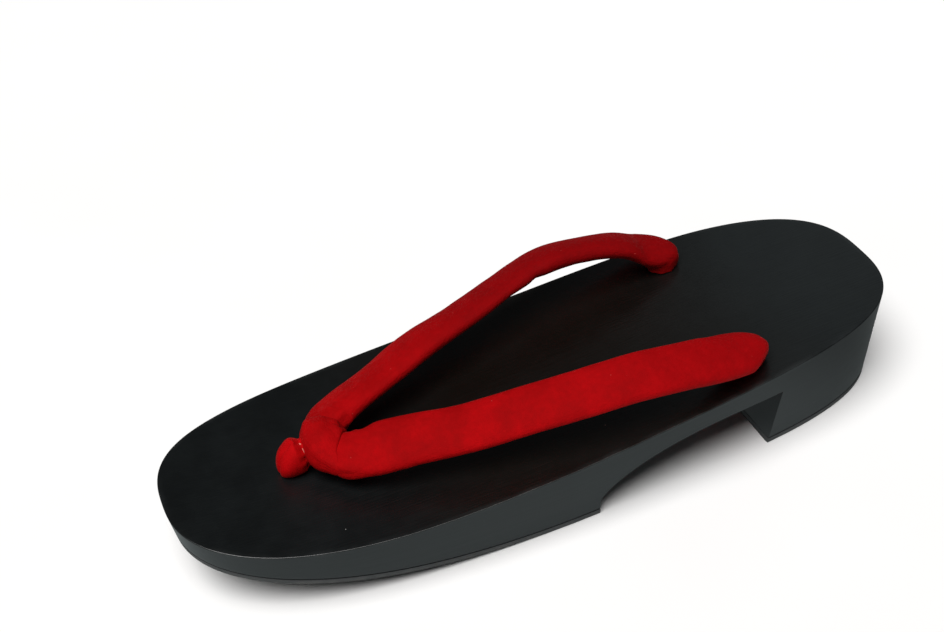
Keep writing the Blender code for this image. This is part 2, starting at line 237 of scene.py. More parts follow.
class MeshMaker:
    """Turns sections and bmeshes into dressed pieces of the sandal."""

    @staticmethod
    def finish(name: str, mesh: bmesh.types.BMesh, sharp_angle: float) -> bpy.types.Object:
        """Turn a bmesh into a smooth-shaded object in the scene.

        Args:
            name: Name of the new object.
            mesh: The bmesh, which is freed.
            sharp_angle: Angle in degrees above which an edge stays sharp.

        Returns:
            The new object.
        """
        bmesh.ops.recalc_face_normals(mesh, faces=mesh.faces)
        data = bpy.data.meshes.new(name)
        mesh.to_mesh(data)
        mesh.free()
        data.shade_smooth()
        data.set_sharp_from_angle(angle=math.radians(sharp_angle))
        thing = bpy.data.objects.new(name, data)
        bpy.context.scene.collection.objects.link(thing)
        return thing

    @staticmethod
    def apply_modifiers(thing: bpy.types.Object) -> None:
        """Bake an object's modifiers into its mesh.

        Args:
            thing: The object.
        """
        bpy.context.view_layer.update()
        depsgraph = bpy.context.evaluated_depsgraph_get()
        data = bpy.data.meshes.new_from_object(thing.evaluated_get(depsgraph))
        thing.modifiers.clear()
        thing.data = data

    @staticmethod
    def mark(thing: bpy.types.Object, values: list) -> None:
        """Write how worn each vertex is, for the materials to read; on the body's rim the lacquer also
        paints a highlight from it.

        Args:
            thing: The piece.
            values: The wear of each vertex, from 0 to 1.
        """
        marks = thing.data.attributes.new(EDGE_MARK, "FLOAT", "POINT")
        marks.data.foreach_set("value", values)

    @staticmethod
    def level_faces(thing: bpy.types.Object) -> None:
        """Keep flat faces flat in their shading beside rounded edges.

        Args:
            thing: The piece.
        """
        level = thing.modifiers.new("level_faces", "WEIGHTED_NORMAL")
        level.keep_sharp = True
        level.weight = LEVEL_WEIGHT

    @staticmethod
    def tube(name: str, rings: list, closed: bool = False) -> bpy.types.Object:
        """Skin loops of points with quads and lay out a map along and round them, in metres.

        Args:
            name: Name of the new object.
            rings: Loops of equally many points.
            closed: Whether the last loop joins the first; otherwise both ends are capped.

        Returns:
            The new object.
        """
        mesh = bmesh.new()
        layer = mesh.loops.layers.uv.new(CLOTH_MAP)
        loops = [[mesh.verts.new(point) for point in ring] for ring in rings]
        count = len(loops[0])
        pairs = list(zip(loops, loops[1:]))
        if closed:
            pairs.append((loops[-1], loops[0]))
        girth = sum((rings[0][(i + 1) % count] - rings[0][i]).length for i in range(count))
        travelled = 0.0
        for (first, second), ring in zip(pairs, rings):
            middle = sum((v.co for v in first), Vector()) / count
            ahead = sum((v.co for v in second), Vector()) / count
            further = travelled + (ahead - middle).length
            for index in range(count):
                following = (index + 1) % count
                corners = (first[index], first[following], second[following], second[index])
                spots = (
                    (travelled, index), (travelled, index + 1), (further, index + 1), (further, index),
                )
                for loop, (length, place) in zip(mesh.faces.new(corners).loops, spots):
                    loop[layer].uv = (length, place / count * girth)
            travelled = further
        if not closed:
            mesh.faces.new(loops[0])
            mesh.faces.new(reversed(loops[-1]))
        return MeshMaker.finish(name, mesh, TUBE_SHARP_ANGLE)

    @staticmethod
    def dress(thing: bpy.types.Object, material: bpy.types.Material, slot: Slot,
              nodes: tuple = ()) -> None:
        """Give a piece its material, its body and the solids that it stands for.

        Args:
            thing: The piece.
            material: Its material.
            slot: The record's slot for it; not used.
            nodes: Names of the solids that it replaces.
        """
        thing.data.materials.clear()
        thing.data.materials.append(material)
        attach(thing, BODY)
        if nodes:
            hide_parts(*nodes)
        log.info("%s: %d faces", thing.name, len(thing.data.polygons))


@dataclass
class BodyForm:
    """Form of the wooden body and of the soles under it; leans are in degrees from upright."""

    # Outline of the deck, with its widest place as a share of the length from the toe
    length: float = 0.240
    width: float = 0.083
    widest: float = 0.48
    heel_narrowing: float = 0.08
    toe_fullness: float = 3.2
    toe_roundness: float = 2.6
    heel_fullness: float = 4.4
    heel_roundness: float = 2.8
    # Lean of the wall at the toe's tip, along the sides and at the heel's tip
    toe_lean: float = 7.5
    fore_side_lean: float = 11.5
    heel_side_lean: float = 7.5
    heel_lean: float = 3.0
    # Underside: flat from the ball to the arch, then rising to the toe
    toe_lift: float = 0.0183
    flat_start: float = 0.46
    lift_power: float = 1.75
    # Heel block, and the arch between it and the forefoot
    heel_height: float = 0.0373
    heel_length: float = 0.0533
    heel_face_lean: float = 3.0
    arch_length: float = 0.0623
    arch_step: float = 0.0066
    arch_height: float = 0.0243
    arch_fall: float = 3.0
    arch_bluntness: float = 0.7
    # Soles, and the space that neighbouring pieces keep
    sole_thickness: float = 0.0025
    clearance: float = 0.0003
    # Step, as a share of the length, over which the outline's direction is read
    slope_step: float = 0.001
    # Side profile of the deck
    top_rows: tuple = (
        ProfileRow(0.00, 0.768),
        ProfileRow(0.11, 0.690),
        ProfileRow(0.23, 0.657),
        ProfileRow(0.36, 0.680),
        ProfileRow(0.50, 0.745),
        ProfileRow(0.66, 0.845),
        ProfileRow(0.82, 0.940),
        ProfileRow(1.00, 1.000),
    )

    def deck_height(self, y: float) -> float:
        """Height of the deck, which is level from side to side.

        Args:
            y: Place along the sandal.

        Returns:
            The height above the floor.
        """
        rows = self.top_rows
        along = min(max(y / self.length + 0.5, 0.0), 1.0)
        index = 0
        while index < len(rows) - 2 and along > rows[index + 1].along:
            index += 1
        start, end = rows[index], rows[index + 1]
        before, after = rows[max(index - 1, 0)], rows[min(index + 2, len(rows) - 1)]
        span = end.along - start.along
        share = (along - start.along) / span
        slope_in = (end.height - before.height) / (end.along - before.along) * span
        slope_out = (after.height - start.height) / (after.along - start.along) * span
        return hermite(start.height, slope_in, end.height, slope_out, share) * self.heel_height

    def floor_lift(self, y: float) -> float:
        """Height of the soles' underside, which curves up to the toe.

        Args:
            y: Place along the sandal.

        Returns:
            The height above the floor.
        """
        along = y / self.length + 0.5
        if along >= self.flat_start:
            return 0.0
        return self.toe_lift * ((self.flat_start - along) / self.flat_start) ** self.lift_power

    def sole_seat(self, y: float) -> float:
        """Height of the wood's underside over a sole."""
        return self.floor_lift(y) + self.sole_thickness

    def sole_top(self, y: float) -> float:
        """Height of a sole's upper face."""
        return self.sole_seat(y) - self.clearance

    def half_width(self, along: float) -> float:
        """Half the deck's width.

        Args:
            along: Share of the length, from the toe.

        Returns:
            The half width.
        """
        if along < self.widest:
            reach = (self.widest - along) / self.widest
            share = max(1.0 - reach ** self.toe_fullness, 0.0) ** (1.0 / self.toe_roundness)
            return self.width / 2.0 * share
        reach = (along - self.widest) / (1.0 - self.widest)
        share = max(1.0 - reach ** self.heel_fullness, 0.0) ** (1.0 / self.heel_roundness)
        return self.width / 2.0 * (1.0 - self.heel_narrowing * reach) * share

    def wall_lean(self, along: float, facing: Vector) -> float:
        """Lean of the wall, as the inset for each metre down.

        Args:
            along: Share of the length.
            facing: Level direction that the wall faces.

        Returns:
            The inset for each metre.
        """
        side = self.fore_side_lean + (self.heel_side_lean - self.fore_side_lean) * along
        lean = side
        lean += (self.toe_lean - side) * max(-facing.y, 0.0) ** 2
        lean += (self.heel_lean - side) * max(facing.y, 0.0) ** 2
        return math.tan(math.radians(lean))

    def edge_point(self, along: float) -> tuple[Vector, Vector]:
        """Point of the deck's near edge and the way that the wall faces there.

        Args:
            along: Share of the length.

        Returns:
            The point, at no height, and the level facing.
        """
        ahead = max(along - self.slope_step, 0.0)
        behind = min(along + self.slope_step, 1.0)
        widening = self.half_width(behind) - self.half_width(ahead)
        edge = Vector((widening, (behind - ahead) * self.length, 0.0))
        facing = Vector((edge.y, -edge.x, 0.0)).normalized()
        if along <= 0.0:
            facing = Vector((0.0, -1.0, 0.0))
        if along >= 1.0:
            facing = Vector((0.0, 1.0, 0.0))
        return Vector((self.half_width(along), (along - 0.5) * self.length, 0.0)), facing

    def wall_point(self, along: float, height: float) -> Vector:
        """Point of the leaning near wall, under a point of the deck's edge.

        Args:
            along: Share of the length where the edge's point is.
            height: Height of the wall's point.

        Returns:
            The point.
        """
        point, facing = self.edge_point(along)
        drop = self.deck_height(point.y) - height
        place = point - facing * self.wall_lean(along, facing) * drop
        place.z = height
        return place

    def heel_face(self, height: float) -> float:
        """Place of the heel block's front face at a height."""
        lean = math.tan(math.radians(self.heel_face_lean))
        return self.length / 2.0 - self.heel_length + height * lean

    def arch_front(self) -> float:
        """Place of the small step where the arch starts."""
        return self.heel_face(0.0) - self.arch_length

    def arch_roof(self, y: float) -> float:
        """Height of the arch between its step and the heel block.

        Args:
            y: Place along the sandal.

        Returns:
            The height above the floor.
        """
        front = self.arch_front()
        share = min(max((y - front) / (self.heel_face(self.arch_height) - front), 0.0), 1.0)
        fullness = (1.0 - (1.0 - share) ** self.arch_fall) ** self.arch_bluntness
        return self.arch_step + (self.arch_height - self.arch_step) * fullness

    @staticmethod
    def bunched(start: float, end: float, steps: int) -> list[float]:
        """Shares of the length from start to end, close together at the toe's and heel's tips.

        Args:
            start: First share.
            end: Last share.
            steps: Number of steps between them.

        Returns:
            The shares, both ends among them.
        """
        turn_start = math.acos(1.0 - 2.0 * start)
        turn_end = math.acos(1.0 - 2.0 * end)
        turns = [turn_start + (turn_end - turn_start) * step / steps for step in range(steps + 1)]
        return [(1.0 - math.cos(turn)) / 2.0 for turn in turns]


class ShellMesh:
    """A mesh whose far half mirrors its near half, with points that meet kept as one vertex."""

    DIGITS = 7

    def __init__(self) -> None:
        """Start an empty mesh."""
        self.mesh = bmesh.new()
        self.known: dict = {}

    def vertex(self, point: Vector) -> bmesh.types.BMVert:
        """Vertex at a point, made once.

        Args:
            point: The point.

        Returns:
            The vertex.
        """
        key = tuple(round(value, self.DIGITS) for value in point)
        if key not in self.known:
            self.known[key] = self.mesh.verts.new(point)
        return self.known[key]

    def face(self, points: list) -> None:
        """Add a face, unless its points are fewer than three once those that coincide count as one.

        Args:
            points: Its corners in order.
        """
        corners = list(dict.fromkeys(self.vertex(point) for point in points))
        if len(corners) > 2 and self.mesh.faces.get(corners) is None:
            self.mesh.faces.new(corners)

    def both(self, points: list) -> None:
        """Face on the near side and its mirror image on the far side."""
        self.face(points)
        self.face([mirrored(point) for point in reversed(points)])

    def wall(self, columns: list) -> None:
        """Add quads between columns, on both sides.

        Args:
            columns: Columns of equally many near points.
        """
        for first, second in zip(columns, columns[1:]):
            for index in range(len(first) - 1):
                self.both([first[index], first[index + 1], second[index + 1], second[index]])

    def across(self, points: list) -> None:
        """Strips from the near side to the far side through a row of near points."""
        for first, second in zip(points, points[1:]):
            self.face([first, second, mirrored(second), mirrored(first)])

    def closing(self, points: list) -> None:
        """One face from a near outline over to its mirror image."""
        self.face(points + [mirrored(point) for point in reversed(points)])


@dataclass
class WoodenBody:
    """The body: a level deck, leaning walls, an arch, a heel block and three holes."""

    form: BodyForm
    # Rounded edges at the deck and underneath, each with a flat margin beside it
    rim_radius: float = 0.00032
    foot_radius: float = 0.0005
    margin: float = 0.0015
    rim_steps: int = 4
    # Columns of the wall along the forefoot, arch and heel
    toe_steps: int = 96
    arch_steps: int = 44
    heel_steps: int = 64
    arch_bunching: float = 1.6
    # Holes for the strap, in front of the heel block, and for the thong, behind the toe's tip
    rear_hole_spread: float = 0.0545
    rear_hole_setback: float = 0.0069
    rear_hole_diameter: float = 0.0094
    front_hole_setback: float = 0.0400
    front_hole_diameter: float = 0.0077
    hole_flare: float = 0.00015
    hole_sides: int = 48

    def rear_hole(self) -> Vector:
        """Middle of the near rear hole, just in front of the heel block."""
        y = self.form.heel_face(0.0) - self.rear_hole_setback
        return Vector((self.rear_hole_spread / 2.0, y, 0.0))

    def front_hole(self) -> Vector:
        """Middle of the front hole."""
        return Vector((0.0, self.front_hole_setback - self.form.length / 2.0, 0.0))

    def rim_point(self, along: float, height: float, inset: float) -> Vector:
        """Point at a height and a distance inwards from the near wall."""
        _, facing = self.form.edge_point(along)
        return self.form.wall_point(along, height) - facing * inset

    def upper_column(self, along: float, mid: float) -> list:
        """Points of a column from the deck over its rounded rim to a height on the wall.

        Args:
            along: Share of the length.
            mid: Height where the column stops.

        Returns:
            The points, from the deck down.
        """
        point, _ = self.form.edge_point(along)
        deck = self.form.deck_height(point.y)
        radius = self.rim_radius
        column = [self.rim_point(along, deck, radius + self.margin)]
        for step in range(self.rim_steps + 1):
            turn = HALF_TURN / 2.0 * step / self.rim_steps
            drop = radius * (1.0 - math.cos(turn))
            column.append(self.rim_point(along, deck - drop, radius * (1.0 - math.sin(turn))))
        column.append(self.rim_point(along, deck - radius - self.margin, 0.0))
        column.append(self.rim_point(along, mid, 0.0))
        return column

    def lower_column(self, along: float, mid: Vector, low: float) -> list:
        """Points of a column from the wall round the lower edge to the underside.

        Args:
            along: Share of the length.
            mid: Point where the column starts.
            low: Height of the underside.

        Returns:
            The points, from the wall down and in.
        """
        radius = self.foot_radius
        column = [mid]
        for step in range(self.rim_steps + 1):
            turn = HALF_TURN / 2.0 * step / self.rim_steps
            rise = radius * (1.0 - math.sin(turn))
            column.append(self.rim_point(along, low + rise, radius * (1.0 - math.cos(turn))))
        column.append(self.rim_point(along, low, radius + self.margin))
        return column

    def standing_columns(self, alongs: list, share: float) -> tuple[list, list]:
        """Columns where the body stands on a sole.

        Args:
            alongs: Shares of the length.
            share: Height where each column is split, as a share of its wall.

        Returns:
            The upper columns and the lower ones.
        """
        uppers, lowers = [], []
        for along in alongs:
            y = (along - 0.5) * self.form.length
            low = self.form.sole_seat(y)
            mid = low + (self.form.deck_height(y) - low) * share
            uppers.append(self.upper_column(along, mid))
            lowers.append(self.lower_column(along, uppers[-1][-1], low))
        return uppers, lowers

    def hollow_columns(self, start: float, end: float) -> tuple[list, list]:
        """Columns over the arch, close together at its step.

        Args:
            start: Share of the length at the step.
            end: Share of the length at the heel block.

        Returns:
            The upper columns and the lower ones.
        """
        uppers, lowers = [], []
        for step in range(self.arch_steps + 1):
            along = start + (end - start) * (step / self.arch_steps) ** self.arch_bunching
            roof = self.form.arch_roof((along - 0.5) * self.form.length)
            uppers.append(self.upper_column(along, roof + self.foot_radius))
            lowers.append(self.lower_column(along, uppers[-1][-1], roof))
        return uppers, lowers

    def split_share(self, y: float, roof: float) -> float:
        """Share of the wall over a sole at which the arch's wall ends beside it."""
        seat = self.form.sole_seat(y)
        return (roof + self.foot_radius - seat) / (self.form.deck_height(y) - seat)

    def shell(self) -> ShellMesh:
        """Build the body's whole surface without its holes.

        Returns:
            The surface.
        """
        form = self.form
        shell = ShellMesh()
        front = form.arch_front()
        back = form.heel_face(form.arch_height)
        front_along = front / form.length + 0.5
        back_along = back / form.length + 0.5
        toe_alongs = form.bunched(0.0, front_along, self.toe_steps)
        toe_upper, toe_lower = self.standing_columns(toe_alongs, self.split_share(front, form.arch_step))
        arch_upper, arch_lower = self.hollow_columns(front_along, back_along)
        heel_alongs = form.bunched(back_along, 1.0, self.heel_steps)
        heel_share = self.split_share(back, form.arch_height)
        heel_upper, heel_lower = self.standing_columns(heel_alongs, heel_share)
        seat = form.sole_seat(back)
        foot_along = form.heel_face(seat) / form.length + 0.5
        heel_lower[0] = self.lower_column(foot_along, heel_upper[0][-1], seat)
        for columns in (toe_upper, arch_upper, heel_upper, toe_lower, arch_lower, heel_lower):
            shell.wall(columns)
        for columns in (toe_upper, arch_upper, heel_upper):
            shell.across([column[0] for column in columns])
        for columns in (toe_lower, arch_lower, heel_lower):
            shell.across([column[-1] for column in columns])
        for standing, hollow in ((toe_lower[-1], arch_lower[0]), (heel_lower[0], arch_lower[-1])):
            near = standing + [mirrored(point) for point in reversed(standing)]
            shell.face(near + [mirrored(point) for point in hollow[1:]] + list(reversed(hollow[1:])))
        return shell

    def hole_cutter(self, name: str, place: Vector, diameter: float) -> bpy.types.Object:
        """Make an upright round cutter that flares at the deck.

        Args:
            name: Name of the cutter.
            place: Middle of the hole.
            diameter: Diameter of the hole.

        Returns:
            The cutter.
        """
        deck = self.form.deck_height(place.y)
        radius = diameter / 2.0
        rings = []
        for height, extra in (
            (-self.form.heel_height, 0.0),
            (deck - self.hole_flare, 0.0),
            (deck + self.hole_flare, 2.0 * self.hole_flare),
            (2.0 * self.form.heel_height, 2.0 * self.hole_flare),
        ):
            ring = []
            reach = radius + extra
            for index in range(self.hole_sides):
                turn = FULL_TURN * index / self.hole_sides
                x = place.x + math.cos(turn) * reach
                y = place.y + math.sin(turn) * reach
                ring.append(Vector((x, y, height)))
            rings.append(ring)
        return MeshMaker.tube(name, rings)

    def mark_edges(self, thing: bpy.types.Object) -> None:
        """Mark how close each vertex is to the deck's rim, which the lacquer paints as wear and as a
        painted highlight.

        Args:
            thing: The body.
        """
        form = self.form
        values = []
        for vertex in thing.data.vertices:
            point = vertex.co
            along = min(max(point.y / form.length + 0.5, 0.0), 1.0)
            edge, facing = form.edge_point(along)
            inset = (edge.x - abs(point.x)) * abs(facing.x)
            drop = abs(form.deck_height(point.y) - point.z)
            if abs(facing.y) > abs(facing.x):
                inset = max(form.length / 2.0 - abs(point.y), 0.0) * abs(facing.y)
            away = smooth_step(max(inset, drop), self.rim_radius, self.rim_radius + self.margin)
            values.append(1.0 - away)
        MeshMaker.mark(thing, values)

    def build(self, material: bpy.types.Material) -> bpy.types.Object:
        """Build the body and dress it.

        Args:
            material: The lacquer.

        Returns:
            The body.
        """
        body = MeshMaker.finish("wooden_body", self.shell().mesh, SHARP_ANGLE)
        rear = self.rear_hole()
        cutters = [
            self.hole_cutter("near_hole", rear, self.rear_hole_diameter),
            self.hole_cutter("far_hole", mirrored(rear), self.rear_hole_diameter),
            self.hole_cutter("front_hole", self.front_hole(), self.front_hole_diameter),
        ]
        for cutter in cutters:
            modifier = body.modifiers.new(cutter.name, "BOOLEAN")
            modifier.operation = "DIFFERENCE"
            modifier.solver = "EXACT"
            modifier.object = cutter
        MeshMaker.apply_modifiers(body)
        body.data.set_sharp_from_angle(angle=math.radians(SHARP_ANGLE))
        for cutter in cutters:
            bpy.data.objects.remove(cutter, do_unlink=True)
        self.mark_edges(body)
        MeshMaker.level_faces(body)
        MeshMaker.dress(body, material, Slot.WOOD, ("body",))
        return body


@dataclass
class RubberSole:
    """A thin rubber sole under the forefoot or the heel block."""

    name: str
    node: str
    form: BodyForm
    start: float
    end: float
    steps: int = 72
    edge_radius: float = 0.0004
    scuff_height: float = 0.0016
    margin: float = 0.0012
    round_steps: int = 3

    def column(self, along: float) -> list:
        """Points of a column from the upper face over the side to the underside.

        Args:
            along: Share of the sandal's length.

        Returns:
            The points, from the top down and in.
        """
        y = (along - 0.5) * self.form.length
        top = self.form.sole_top(y)
        low = self.form.floor_lift(y)
        _, facing = self.form.edge_point(along)
        upper = self.form.wall_point(along, top)
        column = [upper - facing * self.margin, upper]
        for step in range(self.round_steps + 1):
            turn = HALF_TURN / 2.0 * step / self.round_steps
            rise = self.edge_radius * (1.0 - math.sin(turn))
            inset = self.edge_radius * (1.0 - math.cos(turn))
            column.append(self.form.wall_point(along, low + rise) - facing * inset)
        column.append(self.form.wall_point(along, low) - facing * (self.edge_radius + self.margin))
        return column

    def build(self, material: bpy.types.Material) -> bpy.types.Object:
        """Build the sole and dress it.

        Args:
            material: The rubber.

        Returns:
            The sole.
        """
        alongs = self.form.bunched(self.start, self.end, self.steps)
        columns = [self.column(along) for along in alongs]
        shell = ShellMesh()
        shell.wall(columns)
        shell.across([column[0] for column in columns])
        shell.across([column[-1] for column in columns])
        for column in (columns[0], columns[-1]):
            shell.closing(column)
        sole = MeshMaker.finish(self.name, shell.mesh, SHARP_ANGLE)
        rises = [vertex.co.z - self.form.floor_lift(vertex.co.y) for vertex in sole.data.vertices]
        wear = [1.0 - smooth_step(rise, self.edge_radius, self.scuff_height) for rise in rises]
        MeshMaker.mark(sole, wear)
        MeshMaker.level_faces(sole)
        MeshMaker.dress(sole, material, Slot.RUBBER, (self.node,))
        return sole


@dataclass(frozen=True)
class ClothRelief:
    """Small forms of the strap's cloth, as heights and reaches in metres; shifts are in radians."""

    # Seam along the underside, sunk in a low ridge that puckers
    seam_turn: float = 270.0
    seam_depth: float = 0.00055
    seam_reach: float = 0.00055
    ridge_height: float = 0.00016
    ridge_reach: float = 0.0016
    pucker_height: float = 0.00012
    pucker_pitch: float = 0.0042
    # Gathers at the rear hole
    gather_height: float = 0.00016
    gather_reach: float = 0.0040
    gather_count: float = 9.0
    gather_shift: float = 0.6
    # Swelling and pinches behind the thong's band, with their distance from the fold on each half
    near_puff: float = 0.0115
    far_puff: float = 0.0085
    puff_height: float = 0.00045
    puff_reach: float = 0.0032
    pinch_height: float = 0.00026
    pinch_reach: float = 0.0040
    pinch_count: float = 8.0
    pinch_shift: float = 1.1
    # Lumps of the padding, broad and small, read from noise that starts at a chosen place
    lump_height: float = 0.00022
    lump_scale: float = 75.0
    bump_height: float = 0.00008
    bump_scale: float = 240.0
    lump_start: tuple = (0.31, 0.17, 0.53)


@dataclass
class PaddedStrap:
    """Both straps as one padded tube, folded in front, with a knot under each rear hole."""

    form: BodyForm
    body: WoodenBody
    cloth: ClothRelief = ClothRelief()
    # Plain sizes of the tube, of its pinched fold and of its neck and knot at the hole
    width: float = 0.0158
    thickness: float = 0.0064
    rise: float = 0.0174
    reach: float = 0.0265
    fold_width: float = 0.0100
    fold_thickness: float = 0.0078
    fold_height: float = 0.0081
    flat_fullness: float = 0.22
    neck_rise: float = 0.0004
    neck_fullness: float = 1.19
    mouth_rise: float = 0.0001
    knot_diameter: float = 0.0112
    knot_height: float = 0.0060
    # The thong's sizes that set where the fold lies
    nub_length: float = 0.0094
    band_wall: float = 0.0017
    band_lap: float = 0.0012
    # Fineness: sections for each row and points for each section
    steps: int = 10
    section_points: int = 48
    # Last rows that turn down into the hole, and how far the top and the underside swing out in the turn
    turned_rows: int = 3
    run_steps: int = 4
    top_leaving: float = 0.024
    under_leaving: float = 0.006
    top_arriving: float = 0.026
    under_arriving: float = 0.003
    curl: float = 0.55
    rows: tuple = (
        StrapRow(0.006, 0.110, 0.46, 0.66, 1.22, 4.0),
        StrapRow(0.021, 0.220, 0.45, 0.78, 1.19, 12.0),
        StrapRow(0.046, 0.350, 0.48, 1.02, 1.16, 19.0),
        StrapRow(0.086, 0.455, 0.56, 1.09, 1.08, 20.0),
        StrapRow(0.143, 0.545, 0.62, 1.07, 1.02, 20.0),
        StrapRow(0.201, 0.627, 0.66, 1.04, 1.00, 20.0),
        StrapRow(0.310, 0.796, 0.74, 1.00, 1.00, 19.0),
        StrapRow(0.434, 0.943, 0.86, 1.00, 1.00, 19.0),
        StrapRow(0.559, 1.109, 0.98, 1.00, 1.00, 19.0),
        StrapRow(0.683, 1.208, 1.00, 1.00, 1.00, 18.0),
        StrapRow(0.808, 1.234, 0.83, 1.01, 1.00, 18.0),
        StrapRow(0.894, 1.215, 0.63, 1.02, 1.05, 16.0),
        StrapRow(0.950, 1.165, 0.48, 1.01, 1.12, 12.0),
        StrapRow(0.988, 1.090, 0.35, 0.95, 1.28, 6.0),
        StrapRow(1.004, 1.025, 0.23, 0.82, 1.50, 0.0),
    )
    knot_rows: tuple = (
        KnotRow(0.12, 0.93),
        KnotRow(0.35, 1.00),
        KnotRow(0.65, 0.97),
        KnotRow(0.88, 0.78),
        KnotRow(1.00, 0.45),
    )
    far_changes: tuple = (
        StrapRow(0.046, -0.01, -0.03, 0.0, 0.0, 0.0),
        StrapRow(0.086, -0.02, -0.06, 0.0, 0.0, 0.0),
        StrapRow(0.143, -0.02, -0.06, 0.0, 0.0, 0.0),
        StrapRow(0.201, -0.01, -0.03, 0.02, 0.0, 0.0),
        StrapRow(0.310, 0.0, 0.02, 0.08, 0.06, 0.0),
        StrapRow(0.434, 0.0, -0.03, 0.01, -0.04, 0.0),
        StrapRow(0.559, 0.0, -0.05, -0.02, -0.16, 0.0),
        StrapRow(0.683, 0.0, 0.00, 0.00, 0.08, 0.0),
        StrapRow(0.808, 0.0, 0.00, 0.00, 0.04, 0.0),
        StrapRow(0.894, 0.0, 0.00, 0.04, 0.00, -2.0),
        StrapRow(0.950, 0.0, -0.07, 0.06, -0.08, -6.0),
    )
    creases: tuple = (
        Crease(Side.FAR, 0.628, 195.0, 0.0022, 0.0060, 12.0, 0.00080),
        Crease(Side.FAR, 0.600, 125.0, 0.0040, 0.0050, 10.0, -0.00035),
        Crease(Side.FAR, 0.665, 150.0, 0.0045, 0.0050, -8.0, -0.00025),
        Crease(Side.FAR, 0.300, 140.0, 0.0180, 0.0022, 3.0, 0.00030),
        Crease(Side.FAR, 0.820, 160.0, 0.0120, 0.0024, -4.0, 0.00030),
        Crease(Side.FAR, 0.930, 150.0, 0.0050, 0.0020, 25.0, 0.00040),
        Crease(Side.NEAR, 0.060, 70.0, 0.0030, 0.0040, 30.0, 0.00030),
        Crease(Side.NEAR, 0.092, 165.0, 0.0050, 0.0046, 0.0, 0.00170),
        Crease(Side.NEAR, 0.110, 40.0, 0.0060, 0.0020, 12.0, 0.00030),
        Crease(Side.NEAR, 0.330, 60.0, 0.0200, 0.0028, -3.0, 0.00022),
        Crease(Side.NEAR, 0.520, 105.0, 0.0160, 0.0026, 4.0, 0.00020),
        Crease(Side.NEAR, 0.720, 70.0, 0.0180, 0.0028, 2.0, 0.00024),
        Crease(Side.NEAR, 0.930, 95.0, 0.0045, 0.0030, 20.0, 0.00030),
    )

    def fold_place(self) -> float:
        """Middle of the fold, which the thong's band holds behind the nub."""
        behind = self.nub_length / 2.0 - self.band_lap + self.band_wall
        return self.body.front_hole().y + behind + self.fold_width / 2.0

    def stations(self, side: Side) -> list:
        """Sections of one half above the deck, kept on the near side.

        Args:
            side: Which half.

        Returns:
            For each section its x, y, z, width, thickness and tilt.
        """
        hole = self.body.rear_hole()
        fold = self.fold_place()
        deck = self.form.deck_height(fold)
        stations = [(0.0, fold, deck + self.fold_height, self.fold_width, self.fold_thickness, 0.0)]
        changes = {change.along: change for change in self.far_changes if side is Side.FAR}
        unchanged = StrapRow(0.0, 0.0, 0.0, 0.0, 0.0, 0.0)
        for row in self.rows:
            change = changes.get(row.along, unchanged)
            y = fold + row.along * (hole.y - fold)
            height = self.form.deck_height(y) + (row.rise + change.rise) * self.rise
            stations.append((
                (row.out + change.out) * self.reach, y, height, (row.width + change.width) * self.width,
                (row.thick + change.thick) * self.thickness, row.tilt + change.tilt,
            ))
        neck = self.tail_diameter() * self.neck_fullness
        height = self.form.deck_height(hole.y) + self.neck_rise
        stations.append((hole.x, hole.y, height, neck, neck, 0.0))
        steering = (-stations[1][0], *stations[1][1:])
        return smooth_rows([steering, *stations, stations[-1]], self.steps)

    def tail_diameter(self) -> float:
        """Diameter of the strap where it passes through its hole."""
        return self.body.rear_hole_diameter - 2.0 * self.form.clearance

    def rings(self, side: Side) -> list[Ring]:
        """Rings of one half above the deck, kept on the near side.

        Args:
            side: Which half.

        Returns:
            The rings, from the fold to the hole.
        """
        stations = self.stations(side)
        middles = [Vector(station[:3]) for station in stations]
        rings = []
        for index, (_, _, _, width, thick, tilt) in enumerate(stations):
            ahead = middles[min(index + 1, len(middles) - 1)]
            behind = middles[max(index - 1, 0)]
            run = (ahead - behind).normalized()
            if index == 0:
                run = Vector((1.0, 0.0, 0.0))
            if index == len(stations) - 1:
                run = Vector((0.0, 0.0, -1.0))
            dive = run.z ** 2
            across = run.cross(Vector((0.0, dive, 1.0 - dive))).normalized()
            face = across.cross(run)
            lean = math.radians(tilt)
            tilted = across * math.cos(lean) - face * math.sin(lean)
            rings.append(Ring(middles[index], tilted, tilted.cross(run), width, thick))
        return rings

    def tail_rings(self) -> list[Ring]:
        """Rings of the tail through the hole and of the knot under the deck.

        Returns:
            The rings, from the deck down.
        """
        hole = self.body.rear_hole()
        tail = self.tail_diameter()
        top = self.form.arch_roof(hole.y - self.knot_diameter / 2.0) - self.form.clearance
        levels = [(self.form.deck_height(hole.y) + self.mouth_rise, tail), (top, tail)]
        for row in self.knot_rows:
            levels.append((top - row.drop * self.knot_height, row.width * self.knot_diameter))
        levels = smooth_rows([levels[0], *levels, levels[-1]], self.steps // 2)
        across = Vector((1.0, 0.0, 0.0))
        face = Vector((0.0, 1.0, 0.0))
        return [Ring(Vector((hole.x, hole.y, z)), across, face, size, size) for z, size in levels]

    def outline(self, ring: Ring, grown: float = 0.0) -> list:
        """Points of a padded section.

        Args:
            ring: The section's place and size.
            grown: Distance by which it is grown all round.

        Returns:
            The points, from the outer edge over the top.
        """
        power = 1.0 - self.flat_fullness * (1.0 - min(ring.thick / ring.width, 1.0))
        points = []
        for index in range(self.section_points):
            turn = FULL_TURN * index / self.section_points
            sideways = signed_power(math.cos(turn), power) * (ring.width / 2.0 + grown)
            outwards = signed_power(math.sin(turn), power) * (ring.thick / 2.0 + grown)
            points.append(ring.middle + ring.across * sideways + ring.face * outwards)
        return points

